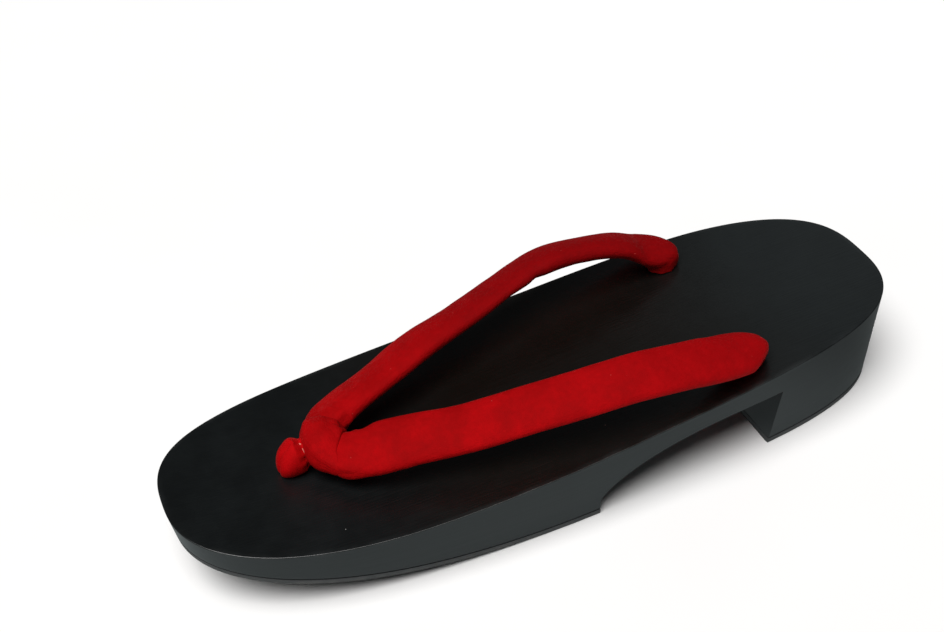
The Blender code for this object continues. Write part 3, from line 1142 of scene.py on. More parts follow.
    def raised(self, ring: Ring, points: list, relief: Callable) -> list:
        """Lift a section's points by the relief of its cloth.

        Args:
            ring: The section.
            points: Its points.
            relief: Height of the cloth above the plain form, for an angle in degrees.

        Returns:
            The lifted points.
        """
        result = []
        for index, point in enumerate(points):
            turn = FULL_TURN * index / self.section_points
            sideways = ring.across * math.cos(turn) * ring.thick
            outward = sideways + ring.face * math.sin(turn) * ring.width
            result.append(point + outward.normalized() * relief(math.degrees(turn)))
        return result

    def relief(self, side: Side, rings: list, lengths: list, index: int, total: float) -> Callable:
        """Seam, gathers, creases and lumps of the cloth round one section.

        Args:
            side: The half that the section is on.
            rings: Rings of that half.
            lengths: Distance of each ring from the fold.
            index: The section's index.
            total: Distance from the fold to the deck at the hole.

        Returns:
            The height above the plain form, as a function of the angle in degrees.
        """
        cloth = self.cloth
        ring = rings[index]
        travelled = lengths[index]
        to_hole = total - travelled
        girth = HALF_TURN * (ring.width + ring.thick) / 2.0
        gather = cloth.gather_height * bell(max(to_hole, 0.0), cloth.gather_reach)
        gather *= smooth_step(to_hole, -cloth.gather_reach, 0.0)
        past_puff = travelled - (cloth.near_puff if side is Side.NEAR else cloth.far_puff)
        puff = cloth.puff_height * bell(past_puff, cloth.puff_reach)
        pinch = cloth.pinch_height * bell(past_puff, cloth.pinch_reach)
        pucker = cloth.pucker_height * math.sin(FULL_TURN * travelled / cloth.pucker_pitch)
        creases = [crease for crease in self.creases if crease.side is side]

        def height(turn: float) -> float:
            """Height of the cloth above the plain form.

            Args:
                turn: Angle round the section, in degrees.

            Returns:
                The height.
            """
            around = math.radians(turn)
            from_seam = (turn - cloth.seam_turn) / 360.0 * girth
            seam = -cloth.seam_depth * bell(from_seam, cloth.seam_reach)
            seam += (cloth.ridge_height + pucker) * bell(from_seam, cloth.ridge_reach)
            place = ring.middle + ring.across * math.cos(around) * ring.width / 2.0
            place = place + ring.face * math.sin(around) * ring.thick / 2.0
            place = Vector((place.x * side.value, place.y, place.z)) + Vector(cloth.lump_start)
            lumps = cloth.lump_height * noise.noise(place * cloth.lump_scale)
            lumps += cloth.bump_height * noise.noise(place * cloth.bump_scale)
            gathered = cloth.gather_count * around + cloth.gather_shift * side.value
            pinched = cloth.pinch_count * around + cloth.pinch_shift * side.value
            folds = puff + gather * math.cos(gathered) + pinch * math.cos(pinched)
            folds -= sum(crease.dip(travelled - crease.along * total, turn, girth) for crease in creases)
            return seam + lumps + folds

        return height

    def half(self, side: Side) -> list:
        """Loops of one half, from the fold to the end of its knot.

        Args:
            side: Which half.

        Returns:
            The loops of points, still on the near side for both halves.
        """
        above = self.rings(side)
        rings = above + self.tail_rings()
        lengths = [0.0]
        for first, second in zip(rings, rings[1:]):
            lengths.append(lengths[-1] + (second.middle - first.middle).length)
        total = lengths[len(above) - 1]
        loops = [self.outline(ring) for ring in rings]
        self.turn_down(loops, len(above) - 1 - self.turned_rows * self.steps, len(above) - 1)
        for index, ring in enumerate(rings):
            relief = self.relief(side, rings, lengths, index, total)
            loops[index] = self.raised(ring, loops[index], relief)
        return loops

    def turn_down(self, loops: list, start: int, end: int) -> None:
        """Round the strap's end down to its hole, each point along a smooth curve of its own.

        Args:
            loops: Loops of one half, which are changed.
            start: Index of the loop where the turn starts.
            end: Index of the loop at the hole.
        """
        for place in range(self.section_points):
            top = (1.0 + math.sin(FULL_TURN * place / self.section_points)) / 2.0
            first, last = loops[start][place], loops[end][place]
            run = (first - loops[start - self.run_steps][place]).normalized()
            leaving = run * (self.under_leaving + (self.top_leaving - self.under_leaving) * top)
            curled = Vector((0.0, -self.curl * top ** 2, -1.0)).normalized()
            arriving = curled * (self.under_arriving + (self.top_arriving - self.under_arriving) * top)
            for index in range(start + 1, end):
                share = (index - start) / (end - start)
                loops[index][place] = hermite(first, leaving, last, arriving, share)

    def build(self, material: bpy.types.Material) -> bpy.types.Object:
        """Build the strap and dress it.

        Args:
            material: The velveteen.

        Returns:
            The strap.
        """
        near = self.half(Side.NEAR)
        far = [[mirrored(point) for point in loop] for loop in self.half(Side.FAR)[1:]]
        far.reverse()
        strap = MeshMaker.tube("padded_strap", far + near)
        MeshMaker.dress(strap, material, Slot.CLOTH, ("strap",))
        return strap


@dataclass
class FrontThong:
    """The thong: a nub over the front hole, tied with thread, and a band round the strap's fold."""

    strap: PaddedStrap
    # Nub, whose sections lean back in front and forward at its neck, and which is seated flat
    nub_width: float = 0.0110
    nub_height: float = 0.0116
    front_lean: float = 0.24
    neck_lean: float = -0.12
    lean_change: tuple = (-0.35, 0.35)
    seated: float = 0.24
    # Slit on the nub's front: its place, its slant and the shares of the nub where it fades
    slit_depth: float = 0.0007
    slit_width: float = 0.0006
    slit_offset: float = 0.0010
    slit_slant: float = 0.12
    slit_fading: tuple = (0.52, 0.70)
    # Gathers at the nub's neck, and its lumps
    neck: float = 0.79
    gather_height: float = 0.00028
    gather_reach: float = 0.16
    gather_count: float = 10.0
    gather_shift: float = 0.4
    lump_height: float = 0.00028
    lump_scale: float = 130.0
    # Stem through the front hole, with its folds
    stem_share: float = 0.90
    stem_top: float = 0.35
    stem_levels: int = 24
    stem_fold: float = 0.00022
    stem_folds: float = 9.0
    stem_fading: float = 0.3
    # Band round the strap's fold: its reach on each half, in sections of the strap
    near_inner_reach: float = 19.0
    near_outer_reach: float = 29.0
    far_inner_reach: float = 17.0
    far_outer_reach: float = 18.0
    band_rows: int = 22
    lip_roll: float = 0.985
    lip_sink: float = 0.0007
    lip_start: float = 0.55
    # Pleats, lumps and the full place of the band
    pleat_height: float = 0.00020
    pleat_count: float = 8.0
    pleat_shift: float = 0.5
    pleat_slant: float = 0.7
    middle_pleat: float = 0.4
    lip_relief: float = 0.3
    band_lump: float = 0.00030
    band_lump_scale: float = 1.7
    band_lump_stretch: float = 1.2
    bulge: float = 0.0012
    bulge_turn: float = 0.5
    bulge_place: float = 0.42
    bulge_reach: float = 0.30
    # Thread round the neck, which sinks into the cloth except in two windows of its turn, in radians
    thread_radius: float = 0.00014
    thread_turns: int = 2
    thread_start: float = 0.25
    thread_steps: int = 48
    thread_corners: int = 10
    thread_pitch: float = 1.9
    thread_sway: float = 0.00025
    sway_shift: float = 0.5
    thread_sink: float = 0.00045
    wide_window: tuple = (0.70, 0.30)
    small_window: tuple = (1.25, 0.08)
    small_share: float = 0.8
    # Fineness: sections for each row and points for each section
    steps: int = 8
    section_points: int = 56
    rows: tuple = (
        NubRow(-0.50, 0.34, 0.05, 0.05),
        NubRow(-0.48, 0.34, 0.08, 0.08),
        NubRow(-0.465, 0.34, 0.34, 0.31),
        NubRow(-0.43, 0.35, 0.55, 0.52),
        NubRow(-0.36, 0.37, 0.74, 0.70),
        NubRow(-0.24, 0.40, 0.89, 0.86),
        NubRow(-0.08, 0.43, 0.98, 0.97),
        NubRow(0.08, 0.45, 1.00, 0.98),
        NubRow(0.20, 0.45, 0.98, 0.93),
        NubRow(0.32, 0.45, 0.88, 0.80),
        NubRow(0.40, 0.46, 0.76, 0.69),
        NubRow(0.48, 0.48, 0.78, 0.72),
        NubRow(0.62, 0.50, 0.88, 0.80),
        NubRow(0.70, 0.52, 0.90, 0.80),
    )

    def nub_rings(self) -> list[Ring]:
        """Rings of the nub.

        Returns:
            The rings, from the toe's side to the band.
        """
        form = self.strap.form
        hole = self.strap.body.front_hole()
        deck = form.deck_height(hole.y)
        across = Vector((1.0, 0.0, 0.0))
        rings = []
        for back, rise, width, height in smooth_rows(list(self.rows), self.steps):
            y = hole.y + back * self.strap.nub_length
            middle = Vector((0.0, y, deck + rise * self.nub_height))
            changed = smooth_step(back, *self.lean_change)
            lean = self.front_lean + (self.neck_lean - self.front_lean) * changed
            upright = Vector((0.0, lean, 1.0)).normalized()
            rings.append(Ring(middle, across, upright, width * self.nub_width, height * self.nub_height))
        return rings

    def nub(self, material: bpy.types.Material) -> bpy.types.Object:
        """Build the nub, slit on the toe's side and gathered at its neck.

        Args:
            material: The velveteen.

        Returns:
            The nub.
        """
        rings = self.nub_rings()
        loops = []
        for place, ring in enumerate(rings):
            share = place / (len(rings) - 1)
            slit = self.slit_depth * (1.0 - smooth_step(share, *self.slit_fading))
            gather = self.gather_height * bell(share - self.neck, self.gather_reach)
            loop = []
            for index in range(self.section_points):
                turn = FULL_TURN * index / self.section_points
                outward = ring.across * math.cos(turn) + ring.face * math.sin(turn)
                power = 1.0 - self.seated * max(-math.sin(turn), 0.0) ** 0.5
                spot = ring.across * signed_power(math.cos(turn), power) * ring.width / 2.0
                spot = spot + ring.face * signed_power(math.sin(turn), power) * ring.thick / 2.0
                beside = spot.x - self.slit_offset + self.slit_slant * spot.z
                dent = Vector((0.0, slit * bell(beside, self.slit_width), 0.0))
                folds = gather * math.cos(self.gather_count * turn + self.gather_shift)
                lumps = self.lump_height * noise.noise((ring.middle + spot) * self.lump_scale)
                loop.append(ring.middle + spot + outward * (lumps + folds) + dent)
            loops.append(loop)
        nub = MeshMaker.tube("thong_nub", loops)
        MeshMaker.dress(nub, material, Slot.CLOTH, ("thong",))
        return nub

    def stem(self, material: bpy.types.Material) -> bpy.types.Object:
        """Build the stem that hangs from the nub through the front hole.

        Args:
            material: The velveteen.

        Returns:
            The stem.
        """
        form = self.strap.form
        hole = self.strap.body.front_hole()
        hole_radius = self.strap.body.front_hole_diameter / 2.0
        top = form.deck_height(hole.y) + self.stem_top * self.nub_height
        low = form.sole_seat(hole.y - hole_radius)
        radius = (hole_radius - form.clearance) * self.stem_share
        loops = []
        for level in range(self.stem_levels + 1):
            height = top + (low - top) * level / self.stem_levels
            fold = self.stem_fold * (1.0 - self.stem_fading * level / self.stem_levels)
            loop = []
            for index in range(self.section_points):
                turn = FULL_TURN * index / self.section_points
                reach = radius + fold * math.cos(self.stem_folds * turn)
                loop.append(hole + Vector((math.cos(turn) * reach, math.sin(turn) * reach, height)))
            loops.append(loop)
        stem = MeshMaker.tube("thong_stem", loops)
        MeshMaker.dress(stem, material, Slot.CLOTH)
        return stem

    def band_loop(self, share: float, outside: bool) -> list:
        """Points of the band round the strap, at a share of its reach from the fold.

        Args:
            share: Place between its far lip, -1, and its near lip, 1.
            outside: Whether this is the outer skin, or the one that hides in the strap.

        Returns:
            The points.
        """
        strap = self.strap
        clearance = strap.form.clearance
        crown = math.sqrt(max(1.0 - (abs(share) * self.lip_roll) ** 3, 0.0))
        grown = -clearance
        if outside:
            grown = clearance / 2.0 + (strap.band_wall - clearance / 2.0) * crown
        side = Side.NEAR if share >= 0.0 else Side.FAR
        inner_reach = self.near_inner_reach if share >= 0.0 else self.far_inner_reach
        outer_reach = self.near_outer_reach if share >= 0.0 else self.far_outer_reach
        rings = strap.rings(side)[:int(max(inner_reach, outer_reach)) + 2]
        loops = [strap.outline(ring, grown=grown) for ring in rings]
        points = []
        for index in range(strap.section_points):
            turn = FULL_TURN * index / strap.section_points
            outwards = (1.0 + math.cos(turn)) / 2.0
            place = abs(share) * (inner_reach + (outer_reach - inner_reach) * outwards)
            first, second = loops[int(place)][index], loops[int(place) + 1][index]
            point = first.lerp(second, place - int(place))
            if outside:
                outward = (point - rings[int(place)].middle).normalized()
                point = point + outward * self.band_relief(share, turn, crown)
            points.append(point if side is Side.NEAR else mirrored(point))
        return points

    def band_relief(self, share: float, turn: float, crown: float) -> float:
        """Height of the band's cloth above its plain outer skin.

        Args:
            share: Place between its far lip, -1, and its near lip, 1.
            turn: Angle round the strap, in radians.
            crown: Share of the band's wall that is left at this place.

        Returns:
            The height.
        """
        outwards = (1.0 + math.cos(turn)) / 2.0
        pleated = self.pleat_count * turn + self.pleat_shift + self.pleat_slant * share
        pleat = self.pleat_height * (self.middle_pleat + abs(share)) * math.cos(pleated)
        place = Vector((math.cos(turn), math.sin(turn), share * self.band_lump_stretch))
        lump = self.band_lump * noise.noise(place * self.band_lump_scale)
        full = self.bulge * bell(share - self.bulge_place, self.bulge_reach)
        full *= max(math.cos(turn + self.bulge_turn), 0.0)
        sunk = self.lip_sink * smooth_step(share, self.lip_start, 1.0) * outwards
        return (pleat + lump) * (self.lip_relief + (1.0 - self.lip_relief) * crown) + full - sunk

    def band(self, material: bpy.types.Material) -> bpy.types.Object:
        """Build the band round the fold, a closed ring of cloth whose lips roll off into the strap.

        Args:
            material: The velveteen.

        Returns:
            The band.
        """
        shares = [row / self.band_rows for row in range(-self.band_rows, self.band_rows + 1)]
        outer = [self.band_loop(share, True) for share in shares]
        inner = [self.band_loop(share, False) for share in reversed(shares)]
        band = MeshMaker.tube("thong_band", outer + inner, closed=True)
        MeshMaker.dress(band, material, Slot.CLOTH)
        return band

    def thread(self, material: bpy.types.Material) -> bpy.types.Object:
        """Build the thread that ties the neck, in turns that sink into the cloth.

        Args:
            material: The thread's finish.

        Returns:
            The thread.
        """
        rings = self.nub_rings()
        ring = rings[int(len(rings) * self.neck)]
        points = []
        for step in range(self.thread_steps * self.thread_turns + 1):
            travelled = step / self.thread_steps
            turn = FULL_TURN * (self.thread_start + travelled)
            forward = self.thread_radius * (self.thread_pitch * travelled - 1.0)
            forward += self.thread_sway * math.sin(2.0 * turn + self.sway_shift)
            around = turn % FULL_TURN
            shown = bell(around - self.wide_window[0], self.wide_window[1])
            shown += self.small_share * bell(around - self.small_window[0], self.small_window[1])
            grown = self.thread_radius / 2.0 - self.thread_sink * (1.0 - shown)
            spot = ring.across * math.cos(turn) * (ring.width / 2.0 + grown)
            spot = spot + ring.face * math.sin(turn) * (ring.thick / 2.0 + grown)
            points.append(ring.middle + spot + Vector((0.0, forward, 0.0)))
        loops = []
        for index, point in enumerate(points):
            ahead = points[min(index + 1, len(points) - 1)]
            run = (ahead - points[max(index - 1, 0)]).normalized()
            side = run.cross(Vector((0.0, 1.0, 0.0))).normalized()
            over = side.cross(run)
            loop = []
            for corner in range(self.thread_corners):
                turn = FULL_TURN * corner / self.thread_corners
                loop.append(point + (side * math.cos(turn) + over * math.sin(turn)) * self.thread_radius)
            loops.append(loop)
        thread = MeshMaker.tube("thong_thread", loops)
        MeshMaker.dress(thread, material, Slot.CLOTH)
        return thread


class NodeSheet:
    """A node tree with short ways to add nodes and join them."""

    def __init__(self, tree: bpy.types.NodeTree) -> None:
        """Start with an empty tree."""
        self.tree = tree
        tree.nodes.clear()

    def feed(self, socket: bpy.types.NodeSocket, value: object) -> None:
        """Join a socket to another one, or set its value.

        Args:
            socket: The socket that is fed.
            value: Another node's output, or a plain value.
        """
        if isinstance(value, bpy.types.NodeSocket):
            self.tree.links.new(value, socket)
        else:
            socket.default_value = value

    def add(self, kind: str, inputs: dict, **settings: object) -> bpy.types.Node:
        """Add a node.

        Args:
            kind: Blender's name for the node.
            inputs: What each input takes, by its name or its number.
            settings: The node's own settings.

        Returns:
            The node.
        """
        node = self.tree.nodes.new(kind)
        for name, value in settings.items():
            setattr(node, name, value)
        for key, value in inputs.items():
            self.feed(node.inputs[key], value)
        return node

    def group(self, tree: bpy.types.NodeTree, inputs: dict) -> bpy.types.Node:
        """Place a node group with its own values.

        Args:
            tree: The group's tree.
            inputs: What each input takes, by its name.

        Returns:
            The node.
        """
        node = self.add("ShaderNodeGroup", {}, node_tree=tree)
        for key, value in inputs.items():
            self.feed(node.inputs[key], value)
        return node

    def math(self, operation: str, first: object, second: object) -> bpy.types.NodeSocket:
        """Work out a value from two others."""
        return self.add("ShaderNodeMath", {0: first, 1: second}, operation=operation).outputs[0]

    def times(self, first: object, second: object) -> bpy.types.NodeSocket:
        """Multiply two values."""
        return self.math("MULTIPLY", first, second)

    def scaled(self, value: object, share: object, start: object) -> bpy.types.NodeSocket:
        """Multiply a value by a share and add it to a start."""
        return self.math("ADD", self.times(value, share), start)

    def blend(self, first: object, second: object, share: float) -> bpy.types.NodeSocket:
        """Add a share of one value to the rest of another."""
        return self.math("ADD", self.times(first, share), self.times(second, 1.0 - share))

    def mix(self, share: object, first: object, second: object) -> bpy.types.NodeSocket:
        """Mix two colours."""
        return self.add("ShaderNodeMix", {0: share, 6: first, 7: second}, data_type="RGBA").outputs[2]

    def ramp(self, value: object, low: float, high: float) -> bpy.types.NodeSocket:
        """Rise smoothly from 0 to 1 as a value goes from low to high."""
        ends = {"Value": value, "From Min": low, "From Max": high}
        return self.add("ShaderNodeMapRange", ends, interpolation_type="SMOOTHSTEP").outputs["Result"]

    def noise(self, place: object, scale: object, detail: float) -> bpy.types.NodeSocket:
        """Read a noise texture's value at a place."""
        settings = {"Vector": place, "Scale": scale, "Detail": detail, "Roughness": 0.55}
        return self.add("ShaderNodeTexNoise", settings).outputs[0]

    def place(self) -> bpy.types.NodeSocket:
        """Place on the object, in metres."""
        return self.add("ShaderNodeTexCoord", {}).outputs["Object"]

    def cloth_place(self) -> bpy.types.NodeSocket:
        """Place along and round a tube of cloth, in metres."""
        return self.add("ShaderNodeUVMap", {}, uv_map=CLOTH_MAP).outputs[0]

    def axis(self, vector: object, number: int) -> bpy.types.NodeSocket:
        """One of a vector's three parts."""
        return self.add("ShaderNodeSeparateXYZ", {0: vector}).outputs[number]

    def upward(self) -> bpy.types.NodeSocket:
        """How far the surface faces up, from 0 for a wall to 1."""
        return self.axis(self.add("ShaderNodeNewGeometry", {}).outputs["Normal"], 2)

    def edge(self) -> bpy.types.NodeSocket:
        """Wear that the piece's vertices are marked with, which on the lacquer's rim also places a
        painted highlight.
        """
        return self.add("ShaderNodeAttribute", {}, attribute_name=EDGE_MARK).outputs["Fac"]


class Effects:
    """Effects that several finishes share, each a node group that is built once."""

    # Scale of the coarser noise beside the finer one, and the share of the first named in their blend
    STREAK_COARSENESS = 0.31
    STREAK_FINE_SHARE = 0.65
    MOTTLE_FINENESS = 4.7
    MOTTLE_BROAD_SHARE = 0.7
    # Share of the cells that hold no speck, and how far a face has to look up to catch one
    EMPTY_CELLS = (0.70, 0.74)
    DUSTY_FACING = (0.15, 0.60)

    def __init__(self) -> None:
        """Build the groups."""
        self.streaks = self.make_streaks()
        self.mottle = self.make_mottle()
        self.dust = self.make_dust()
        self.edge_wear_and_highlight = self.make_edge_wear_and_highlight()

    @staticmethod
    def start(name: str, inputs: dict,
              outputs: dict) -> tuple[NodeSheet, bpy.types.Node, bpy.types.Node]:
        """Start a group with its sockets.

        Args:
            name: Name of the group.
            inputs: Kind of each input by its name.
            outputs: Kind of each output by its name.

        Returns:
            The sheet, the node with the inputs and the node with the outputs.
        """
        tree = bpy.data.node_groups.new(name, "ShaderNodeTree")
        for label, kind in inputs.items():
            tree.interface.new_socket(label, in_out="INPUT", socket_type="NodeSocket" + kind)
        for label, kind in outputs.items():
            tree.interface.new_socket(label, in_out="OUTPUT", socket_type="NodeSocket" + kind)
        sheet = NodeSheet(tree)
        return sheet, sheet.add("NodeGroupInput", {}), sheet.add("NodeGroupOutput", {})

    def make_streaks(self) -> bpy.types.NodeTree:
        """Fine streaks drawn out along one direction: wood grooves, brushed nap or twisted fibres.

        Returns:
            The group.
        """
        sheet, given, result = self.start(
            "streaks", {"Place": "Vector", "Stretch": "Vector", "Fineness": "Float"}, {"Height": "Float"}
        )
        factors = {0: given.outputs["Place"], 1: given.outputs["Stretch"]}
        drawn = sheet.add("ShaderNodeVectorMath", factors, operation="MULTIPLY").outputs[0]
        fineness = given.outputs["Fineness"]
        fine = sheet.noise(drawn, fineness, 1.0)
        coarse = sheet.noise(drawn, sheet.times(fineness, self.STREAK_COARSENESS), 1.0)
        both = sheet.blend(fine, coarse, self.STREAK_FINE_SHARE)
        sheet.feed(result.inputs["Height"], sheet.ramp(both, 0.32, 0.68))
        return sheet.tree

    def make_mottle(self) -> bpy.types.NodeTree:
        """Soft patches between two colours, such as uneven polish or cloth brushed two ways.

        Returns:
            The group.
        """
        sheet, given, result = self.start(
            "mottle",
            {"Place": "Vector", "Scale": "Float", "Dark": "Color", "Light": "Color"},
            {"Color": "Color", "Value": "Float"},
        )
        place, scale = given.outputs["Place"], given.outputs["Scale"]
        broad = sheet.noise(place, scale, 3.0)
        small = sheet.noise(place, sheet.times(scale, self.MOTTLE_FINENESS), 2.0)
        value = sheet.ramp(sheet.blend(broad, small, self.MOTTLE_BROAD_SHARE), 0.30, 0.70)
        sheet.feed(result.inputs["Value"], value)
        color = sheet.mix(value, given.outputs["Dark"], given.outputs["Light"])
        sheet.feed(result.inputs["Color"], color)
        return sheet.tree

    def make_dust(self) -> bpy.types.NodeTree:
        """Sparse pale specks on faces that look up.

        Returns:
            The group.
        """
        sheet, given, result = self.start(
            "dust",
            {"Place": "Vector", "Scale": "Float", "Speck": "Float", "Base": "Color", "Dust": "Color"},
            {"Color": "Color", "Mask": "Float"},
        )
        settings = {"Vector": given.outputs["Place"], "Scale": given.outputs["Scale"], "Randomness": 1.0}
        cells = sheet.add("ShaderNodeTexVoronoi", settings)
        chosen = sheet.add("ShaderNodeSeparateColor", {0: cells.outputs["Color"]}).outputs[0]
        size = sheet.times(given.outputs["Speck"], chosen)
        near = sheet.math("LESS_THAN", cells.outputs["Distance"], size)
        kept = sheet.times(near, sheet.ramp(chosen, *self.EMPTY_CELLS))
        mask = sheet.times(kept, sheet.ramp(sheet.upward(), *self.DUSTY_FACING))
        sheet.feed(result.inputs["Mask"], mask)
        sheet.feed(result.inputs["Color"], sheet.mix(mask, given.outputs["Base"], given.outputs["Dust"]))
        return sheet.tree

    def make_edge_wear_and_highlight(self) -> bpy.types.NodeTree:
        """Edges rubbed unevenly to another colour: scuffs on the rubber, wear and a painted highlight on
        the lacquer's rim.

        Returns:
            The group.
        """
        sheet, given, result = self.start(
            "edge_wear_and_highlight",
            {"Place": "Vector", "Edge": "Float", "Scale": "Float", "Base": "Color", "Worn And Highlit": "Color"},
            {"Color": "Color", "Mask": "Float"},
        )
        patches = sheet.noise(given.outputs["Place"], given.outputs["Scale"], 3.0)
        rubbed_and_highlit = sheet.times(sheet.ramp(patches, 0.35, 0.75), given.outputs["Edge"])
        sheet.feed(result.inputs["Mask"], rubbed_and_highlit)
        color = sheet.mix(rubbed_and_highlit, given.outputs["Base"], given.outputs["Worn And Highlit"])
        sheet.feed(result.inputs["Color"], color)
        return sheet.tree


@dataclass(frozen=True)
class Finish:
    """What every finish shares: a material with one Principled shader, in two tones."""

    name: str = "finish"
    dark: tuple = (0.0, 0.0, 0.0, 1.0)
    light: tuple = (1.0, 1.0, 1.0, 1.0)
    patch_scale: float = 1.0
    roughness: float = 0.5
    uneven: float = 0.1

    def start(self) -> tuple[bpy.types.Material, NodeSheet, bpy.types.Node]:
        """Start a material.

        Returns:
            The material, its sheet and its shader.
        """
        material = bpy.data.materials.new(self.name)
        material.use_nodes = True
        sheet = NodeSheet(material.node_tree)
        shader = sheet.add("ShaderNodeBsdfPrincipled", {})
        sheet.add("ShaderNodeOutputMaterial", {"Surface": shader.outputs[0]})
        return material, sheet, shader

    def tone(self, sheet: NodeSheet, effects: Effects) -> bpy.types.Node:
        """Lay soft patches of the two tones over the piece.

        Args:
            sheet: The material's sheet.
            effects: The shared effects.

        Returns:
            The node with the patches' colour and value.
        """
        return sheet.group(effects.mottle, {
            "Place": sheet.place(), "Scale": self.patch_scale, "Dark": self.dark, "Light": self.light,
        })

    def polish(self, sheet: NodeSheet, value: object) -> bpy.types.NodeSocket:
        """Roughness that varies a little with a value from 0 to 1."""
        return sheet.scaled(value, self.uneven, self.roughness - self.uneven / 2.0)

    @staticmethod
    def bump(sheet: NodeSheet, height: object, distance: float, strength: float,
             under: bpy.types.NodeSocket | None = None) -> bpy.types.NodeSocket:
        """Turn a height into a normal.

        Args:
            sheet: The material's sheet.
            height: The height, from 0 to 1.
            distance: Relief in metres at a height of 1.
            strength: Share of the relief that shows.
            under: Normal of a coarser bump below this one.

        Returns:
            The normal.
        """
        settings = {"Height": height, "Distance": distance, "Strength": strength}
        if under is not None:
            settings["Normal"] = under
        return sheet.add("ShaderNodeBump", settings).outputs[0]


@dataclass(frozen=True)
class DustyFinish(Finish):
    """A finish with pale specks on the faces that look up."""

    dust: tuple = (0.2, 0.2, 0.2, 1.0)
    dust_scale: float = 100.0
    speck: float = 0.05

    def dusted(self, sheet: NodeSheet, effects: Effects, base: object) -> bpy.types.Node:
        """Scatter the specks over a colour.

        Args:
            sheet: The material's sheet.
            effects: The shared effects.
            base: The colour.

        Returns:
            The node with the dusty colour and the specks' mask.
        """
        return sheet.group(effects.dust, {
            "Place": sheet.place(), "Scale": self.dust_scale, "Speck": self.speck,
            "Base": base, "Dust": self.dust,
        })


@dataclass(frozen=True)
class BlackLacquer(DustyFinish):
    """Thin black lacquer: a finely grooved satin deck and smoother sides."""

    name: str = "black_lacquer"
    dark: tuple = (0.0022, 0.0031, 0.0034, 1.0)
    light: tuple = (0.0038, 0.0052, 0.0056, 1.0)
    patch_scale: float = 45.0
    dust: tuple = (0.20, 0.20, 0.19, 1.0)
    dust_scale: float = 130.0
    speck: float = 0.028
    # Middle of the deck, darker and browner: trodden wear and painted shade between the straps, and
    # where it fades along the sandal
    trodden_and_shaded: tuple = (0.0022, 0.0012, 0.0005, 1.0)
    trodden_and_shaded_front: tuple = (-0.075, -0.020)
    trodden_and_shaded_rear: tuple = (0.095, 0.030)
    deck_facing: tuple = (0.80, 0.94)
    # Rim, lighter: wear and a painted highlight
    worn_and_highlit_rim: tuple = (0.055, 0.060, 0.062, 1.0)
    rim_wear_and_highlight: float = 0.20
    rim_scale: float = 90.0
    # Grooves, weaker on the walls, over the wood's coarser fibres
    groove_pitch: float = 0.00055
    groove_depth: float = 0.00005
    wall_grooves: float = 0.15
    fibre_fineness: float = 400.0
    fibre_depth: float = 0.00004
    # Gloss
    roughness: float = 0.32
    uneven: float = 0.04
    dust_roughness: float = 0.4
    shine: float = 0.58
    coat: float = 0.05
    coat_roughness: float = 0.24

    def build(self, effects: Effects) -> bpy.types.Material:
        """Build the material.

        Args:
            effects: The shared effects.

        Returns:
            The material.
        """
        material, sheet, shader = self.start()
        place = sheet.place()
        deck = sheet.ramp(sheet.upward(), *self.deck_facing)
        tone = self.tone(sheet, effects)
        along = sheet.axis(place, 1)
        # Painted shade with some trodden wear: the deck's middle is darker and browner
        front = sheet.ramp(along, *self.trodden_and_shaded_front)
        middle = sheet.times(front, sheet.ramp(along, *self.trodden_and_shaded_rear))
        trodden_and_shaded = sheet.mix(sheet.times(middle, deck), tone.outputs["Color"], self.trodden_and_shaded)
        # The rim is lighter: wear and a painted highlight
        edge_toned = sheet.group(effects.edge_wear_and_highlight, {
            "Place": place, "Edge": sheet.times(sheet.edge(), self.rim_wear_and_highlight), "Scale": self.rim_scale,
            "Base": trodden_and_shaded, "Worn And Highlit": self.worn_and_highlit_rim,
        })
        dusty = self.dusted(sheet, effects, edge_toned.outputs["Color"])
        sheet.feed(shader.inputs["Base Color"], dusty.outputs["Color"])
        polish = self.polish(sheet, tone.outputs["Value"])
        polish = sheet.scaled(dusty.outputs["Mask"], self.dust_roughness, polish)
        sheet.feed(shader.inputs["Roughness"], polish)
        shader.inputs["Specular IOR Level"].default_value = self.shine
        shader.inputs["Coat Weight"].default_value = self.coat
        shader.inputs["Coat Roughness"].default_value = self.coat_roughness
        fibres = sheet.group(effects.streaks, {
            "Place": place, "Stretch": (0.6, 0.05, 1.0), "Fineness": self.fibre_fineness,
        })
        grooves = sheet.group(effects.streaks, {
            "Place": place, "Stretch": (1.0, 0.02, 1.0), "Fineness": 1.0 / self.groove_pitch,
        })
        strength = sheet.scaled(deck, 1.0 - self.wall_grooves, self.wall_grooves)
        relief = sheet.times(grooves.outputs["Height"], strength)
        under = self.bump(sheet, fibres.outputs["Height"], self.fibre_depth, 0.25)
        sheet.feed(shader.inputs["Normal"], self.bump(sheet, relief, self.groove_depth, 0.5, under))
        return material


